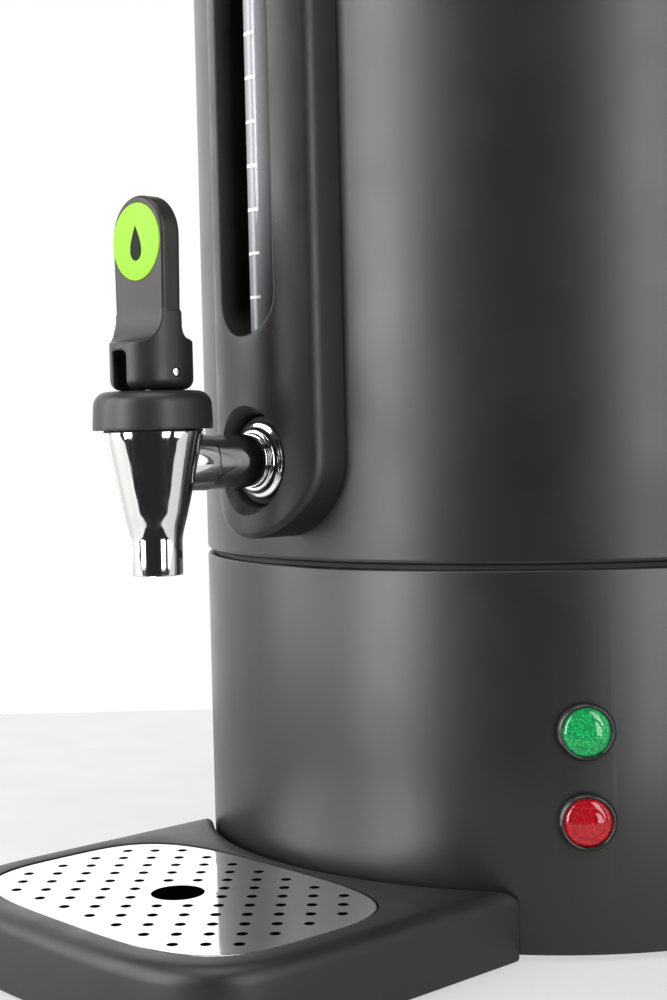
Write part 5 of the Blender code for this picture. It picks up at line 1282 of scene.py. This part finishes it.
# %% Basket, its cover and the riser
basket = as_object(turned([
    (60.0, 370.0, 0.3), (60.0, 300.0, 2.0), (5.1, 300.0, 0.3), (5.1, 373.0, 0.2), (5.9, 373.0, 0.2),
    (5.9, 300.8, 0.5), (59.2, 300.8, 1.4), (59.2, 370.0, 0.3),
], 96), "basket_shell")
punch_r, punch_long, floor_pitch, wall_around = 1.1, 6, 8, 36
drills = bmesh.new()
for row, radius in enumerate(range(14, 56, 7)):
    around = int(2 * math.pi * radius / floor_pitch)
    for k in range(around):
        turn = 2 * math.pi * (k + 0.5 * (row % 2)) / around
        bmesh.ops.create_cone(
            drills, cap_ends=True, segments=10, radius1=punch_r, radius2=punch_r, depth=punch_long,
            matrix=Matrix.Translation((radius * math.cos(turn), radius * math.sin(turn), 300.4)),
        )
for row in range(4):
    for k in range(wall_around):
        turn = 2 * math.pi * (k + 0.5 * (row % 2)) / wall_around
        tilt = Matrix.Rotation(turn, 4, "Z") @ Matrix.Rotation(math.pi / 2, 4, "Y")
        on_wall = Matrix.Translation((59.6 * math.cos(turn), 59.6 * math.sin(turn), 308.0 + 8 * row))
        bmesh.ops.create_cone(
            drills, cap_ends=True, segments=10, radius1=punch_r, radius2=punch_r, depth=punch_long,
            matrix=on_wall @ tilt,
        )
carve(basket, as_object(drills, "drills"))
settle(basket, steel_drawn, "percolator", "coffee_basket")
cover = as_object(turned([
    (6.2, 372.5, 0.2), (48.0, 371.3, 1.5), (54.0, 372.5, 1.0), (61.5, 372.5, 0.4), (61.5, 371.1, 0.3),
    (54.0, 371.1, 0.8), (48.0, 370.3, 1.5), (6.2, 371.3, 0.2),
], 96), "basket_top")
settle(cover, steel_spun, "basket_lid", "basket_cover")
riser = as_object(turned([
    (4.5, 393.3, 0.3), (4.5, 299.7, 0), (8.0, 299.7, 0.2), (8.0, 297.7, 0.5), (4.5, 295.7, 0.4),
    (4.5, 164.3, 2.0), (9.8, 160.3, 2.0), (28.0, 149.3, 0.8), (28.0, 146.3, 0.3), (26.5, 146.3, 0.3),
    (26.5, 148.3, 0.4), (9.0, 159.1, 1.5), (3.3, 163.3, 1.0), (3.3, 393.3, 0.3),
], 64), "riser_pipe")
settle(riser, steel_drawn, "percolator", "riser_tube")

# %% [markdown]
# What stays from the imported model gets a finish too. Its shapes are right as they are, and only
# their material slots change.

# %% Finishes of the parts that stay
kept_finishes = {
    "base_plate": aluminium_cast, "foot_front_left": rubber_black, "foot_rear_left": rubber_black,
    "foot_front_right": rubber_black, "foot_rear_right": rubber_black, "heater_plate": aluminium_cast,
    "heating_element": steel_drawn, "thermostat": gloss_black, "thermal_fuse": gloss_black,
    "reset_switch": gloss_black, "reset_button": lens_red, "gauge_lower_seal": silicone_clear,
    "gauge_upper_seal": silicone_clear, "tap_inner_seal": silicone_clear, "tap_lock_nut": brass_turned,
    "green_lamp_nut": gloss_black, "red_lamp_nut": gloss_black, "handle_screw_left_front": steel_drawn,
    "handle_screw_left_rear": steel_drawn, "handle_screw_right_front": steel_drawn,
    "handle_screw_right_rear": steel_drawn, "knob_screw": steel_drawn, "tap_stem": steel_drawn,
    "tap_seat_cup": silicone_clear, "tap_spring": steel_drawn, "power_rocker": gloss_black,
}
for node, finish in kept_finishes.items():
    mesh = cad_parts[node].data
    mesh.materials.clear()
    mesh.materials.append(finish)
print("finished nodes:", len(kept_finishes))

# %% [markdown]
# The urn stands on a pale table whose far edge lies a little way behind it. Beyond the edge
# there is only white.

# %% Table
table_deep, table_wide, edge_reach, below_feet = 0.70, 3.0, 1.034, 0.0004
level_ahead = Vector((ahead.x, ahead.y, 0)).normalized()
across = Vector((level_ahead.y, -level_ahead.x, 0))
edge_at = Vector((camera_place.x, camera_place.y, 0)) + level_ahead * edge_reach
table = bmesh.new()
bmesh.ops.create_grid(table, x_segments=1, y_segments=1, size=1.0)
bmesh.ops.scale(table, vec=(table_wide / 2, table_deep / 2, 1), verts=table.verts)
turn = math.atan2(across.y, across.x)
bmesh.ops.rotate(table, cent=(0, 0, 0), matrix=Matrix.Rotation(turn, 3, "Z"), verts=table.verts)
middle_at = edge_at - level_ahead * table_deep / 2 - Vector((0, 0, below_feet))
bmesh.ops.translate(table, vec=middle_at, verts=table.verts)
mesh = bpy.data.meshes.new("table")
table.to_mesh(mesh)
table.free()
table = bpy.data.objects.new("table", mesh)
bpy.context.scene.collection.objects.link(table)
table_white = finish_of(
    "table_white", (0.14, 0.138, 0.135), 0.6, Emission_Color=(1.0, 0.99, 0.98, 1.0), Emission_Strength=0.55
)
add_skin(table_white, 400.0, 0.00001, 0.05, 20.0)
table.data.materials.append(table_white)
print("table", table_wide, "by", table_deep, "m")

# %% [markdown]
# Black paint shows nothing but the light around it. The studio is therefore drawn as soft
# boxes: a broad one at the left and behind, a tall narrow one near the front, and one at the
# right. Between them the room is dark, which gives the body its dark bands. The room itself is
# white only to the camera: a Light Path node gives every other ray a nearly black one.

# %% Light: the room
world = bpy.data.worlds.new("studio")
bpy.context.scene.world = world
world.use_nodes = True
nodes, links = world.node_tree.nodes, world.node_tree.links
background = nodes["Background"]
background.inputs["Color"].default_value = (0.025, 0.025, 0.025, 1.0)
seen = nodes.new("ShaderNodeBackground")
seen.inputs["Color"].default_value = (1.0, 1.0, 1.0, 1.0)
path = nodes.new("ShaderNodeLightPath")
either = nodes.new("ShaderNodeMixShader")
links.new(path.outputs["Is Camera Ray"], either.inputs[0])
links.new(background.outputs[0], either.inputs[1])
links.new(seen.outputs[0], either.inputs[2])
links.new(either.outputs[0], nodes["World Output"].inputs["Surface"])
print("world", world.name)

# %% [markdown]
# Each soft box is a rectangular area light. It is placed by its angle from the urn's front, and
# it faces a point in the middle of the urn's height.

# %% Light: the soft boxes
aim_height = 0.2


def soft_box(name, azimuth, height, distance, wide, high, power):
    """An area light that faces the urn from an angle measured from its front."""
    data = bpy.data.lights.new(name, "AREA")
    data.shape = "RECTANGLE"
    data.size, data.size_y = wide, high
    data.energy = power
    lamp = bpy.data.objects.new(name, data)
    turn = math.radians(azimuth)
    lamp.location = (distance * math.sin(turn), -distance * math.cos(turn), height)
    aim = Vector((0, 0, aim_height)) - lamp.location
    lamp.rotation_euler = aim.to_track_quat("-Z", "Y").to_euler()
    bpy.context.scene.collection.objects.link(lamp)


soft_box("left_wall", -112, 0.6, 1.8, 1.6, 2.2, 17)
soft_box("back_wall", 190, 0.8, 2.0, 2.6, 2.4, 12)
soft_box("side_left_wall", -74, 0.55, 1.8, 0.9, 2.2, 8)
soft_box("front_left_wall", -40, 0.55, 1.8, 0.9, 2.2, 37)
soft_box("front_strip", -7, 0.6, 1.7, 0.55, 1.9, 41)
soft_box("right_wall", 78, 0.6, 1.8, 0.6, 2.2, 33)
soft_box("far_right_wall", 112, 0.6, 1.8, 1.0, 2.2, 14)
soft_box("top", 0, 2.2, 0.3, 1.4, 1.4, 26)

# %% [markdown]
# The plain display transform keeps the white room white. A filmic one would turn it grey.

# %% Colour: a plain display transform
bpy.context.scene.view_settings.view_transform = "Standard"
print("view transform", bpy.context.scene.view_settings.view_transform)
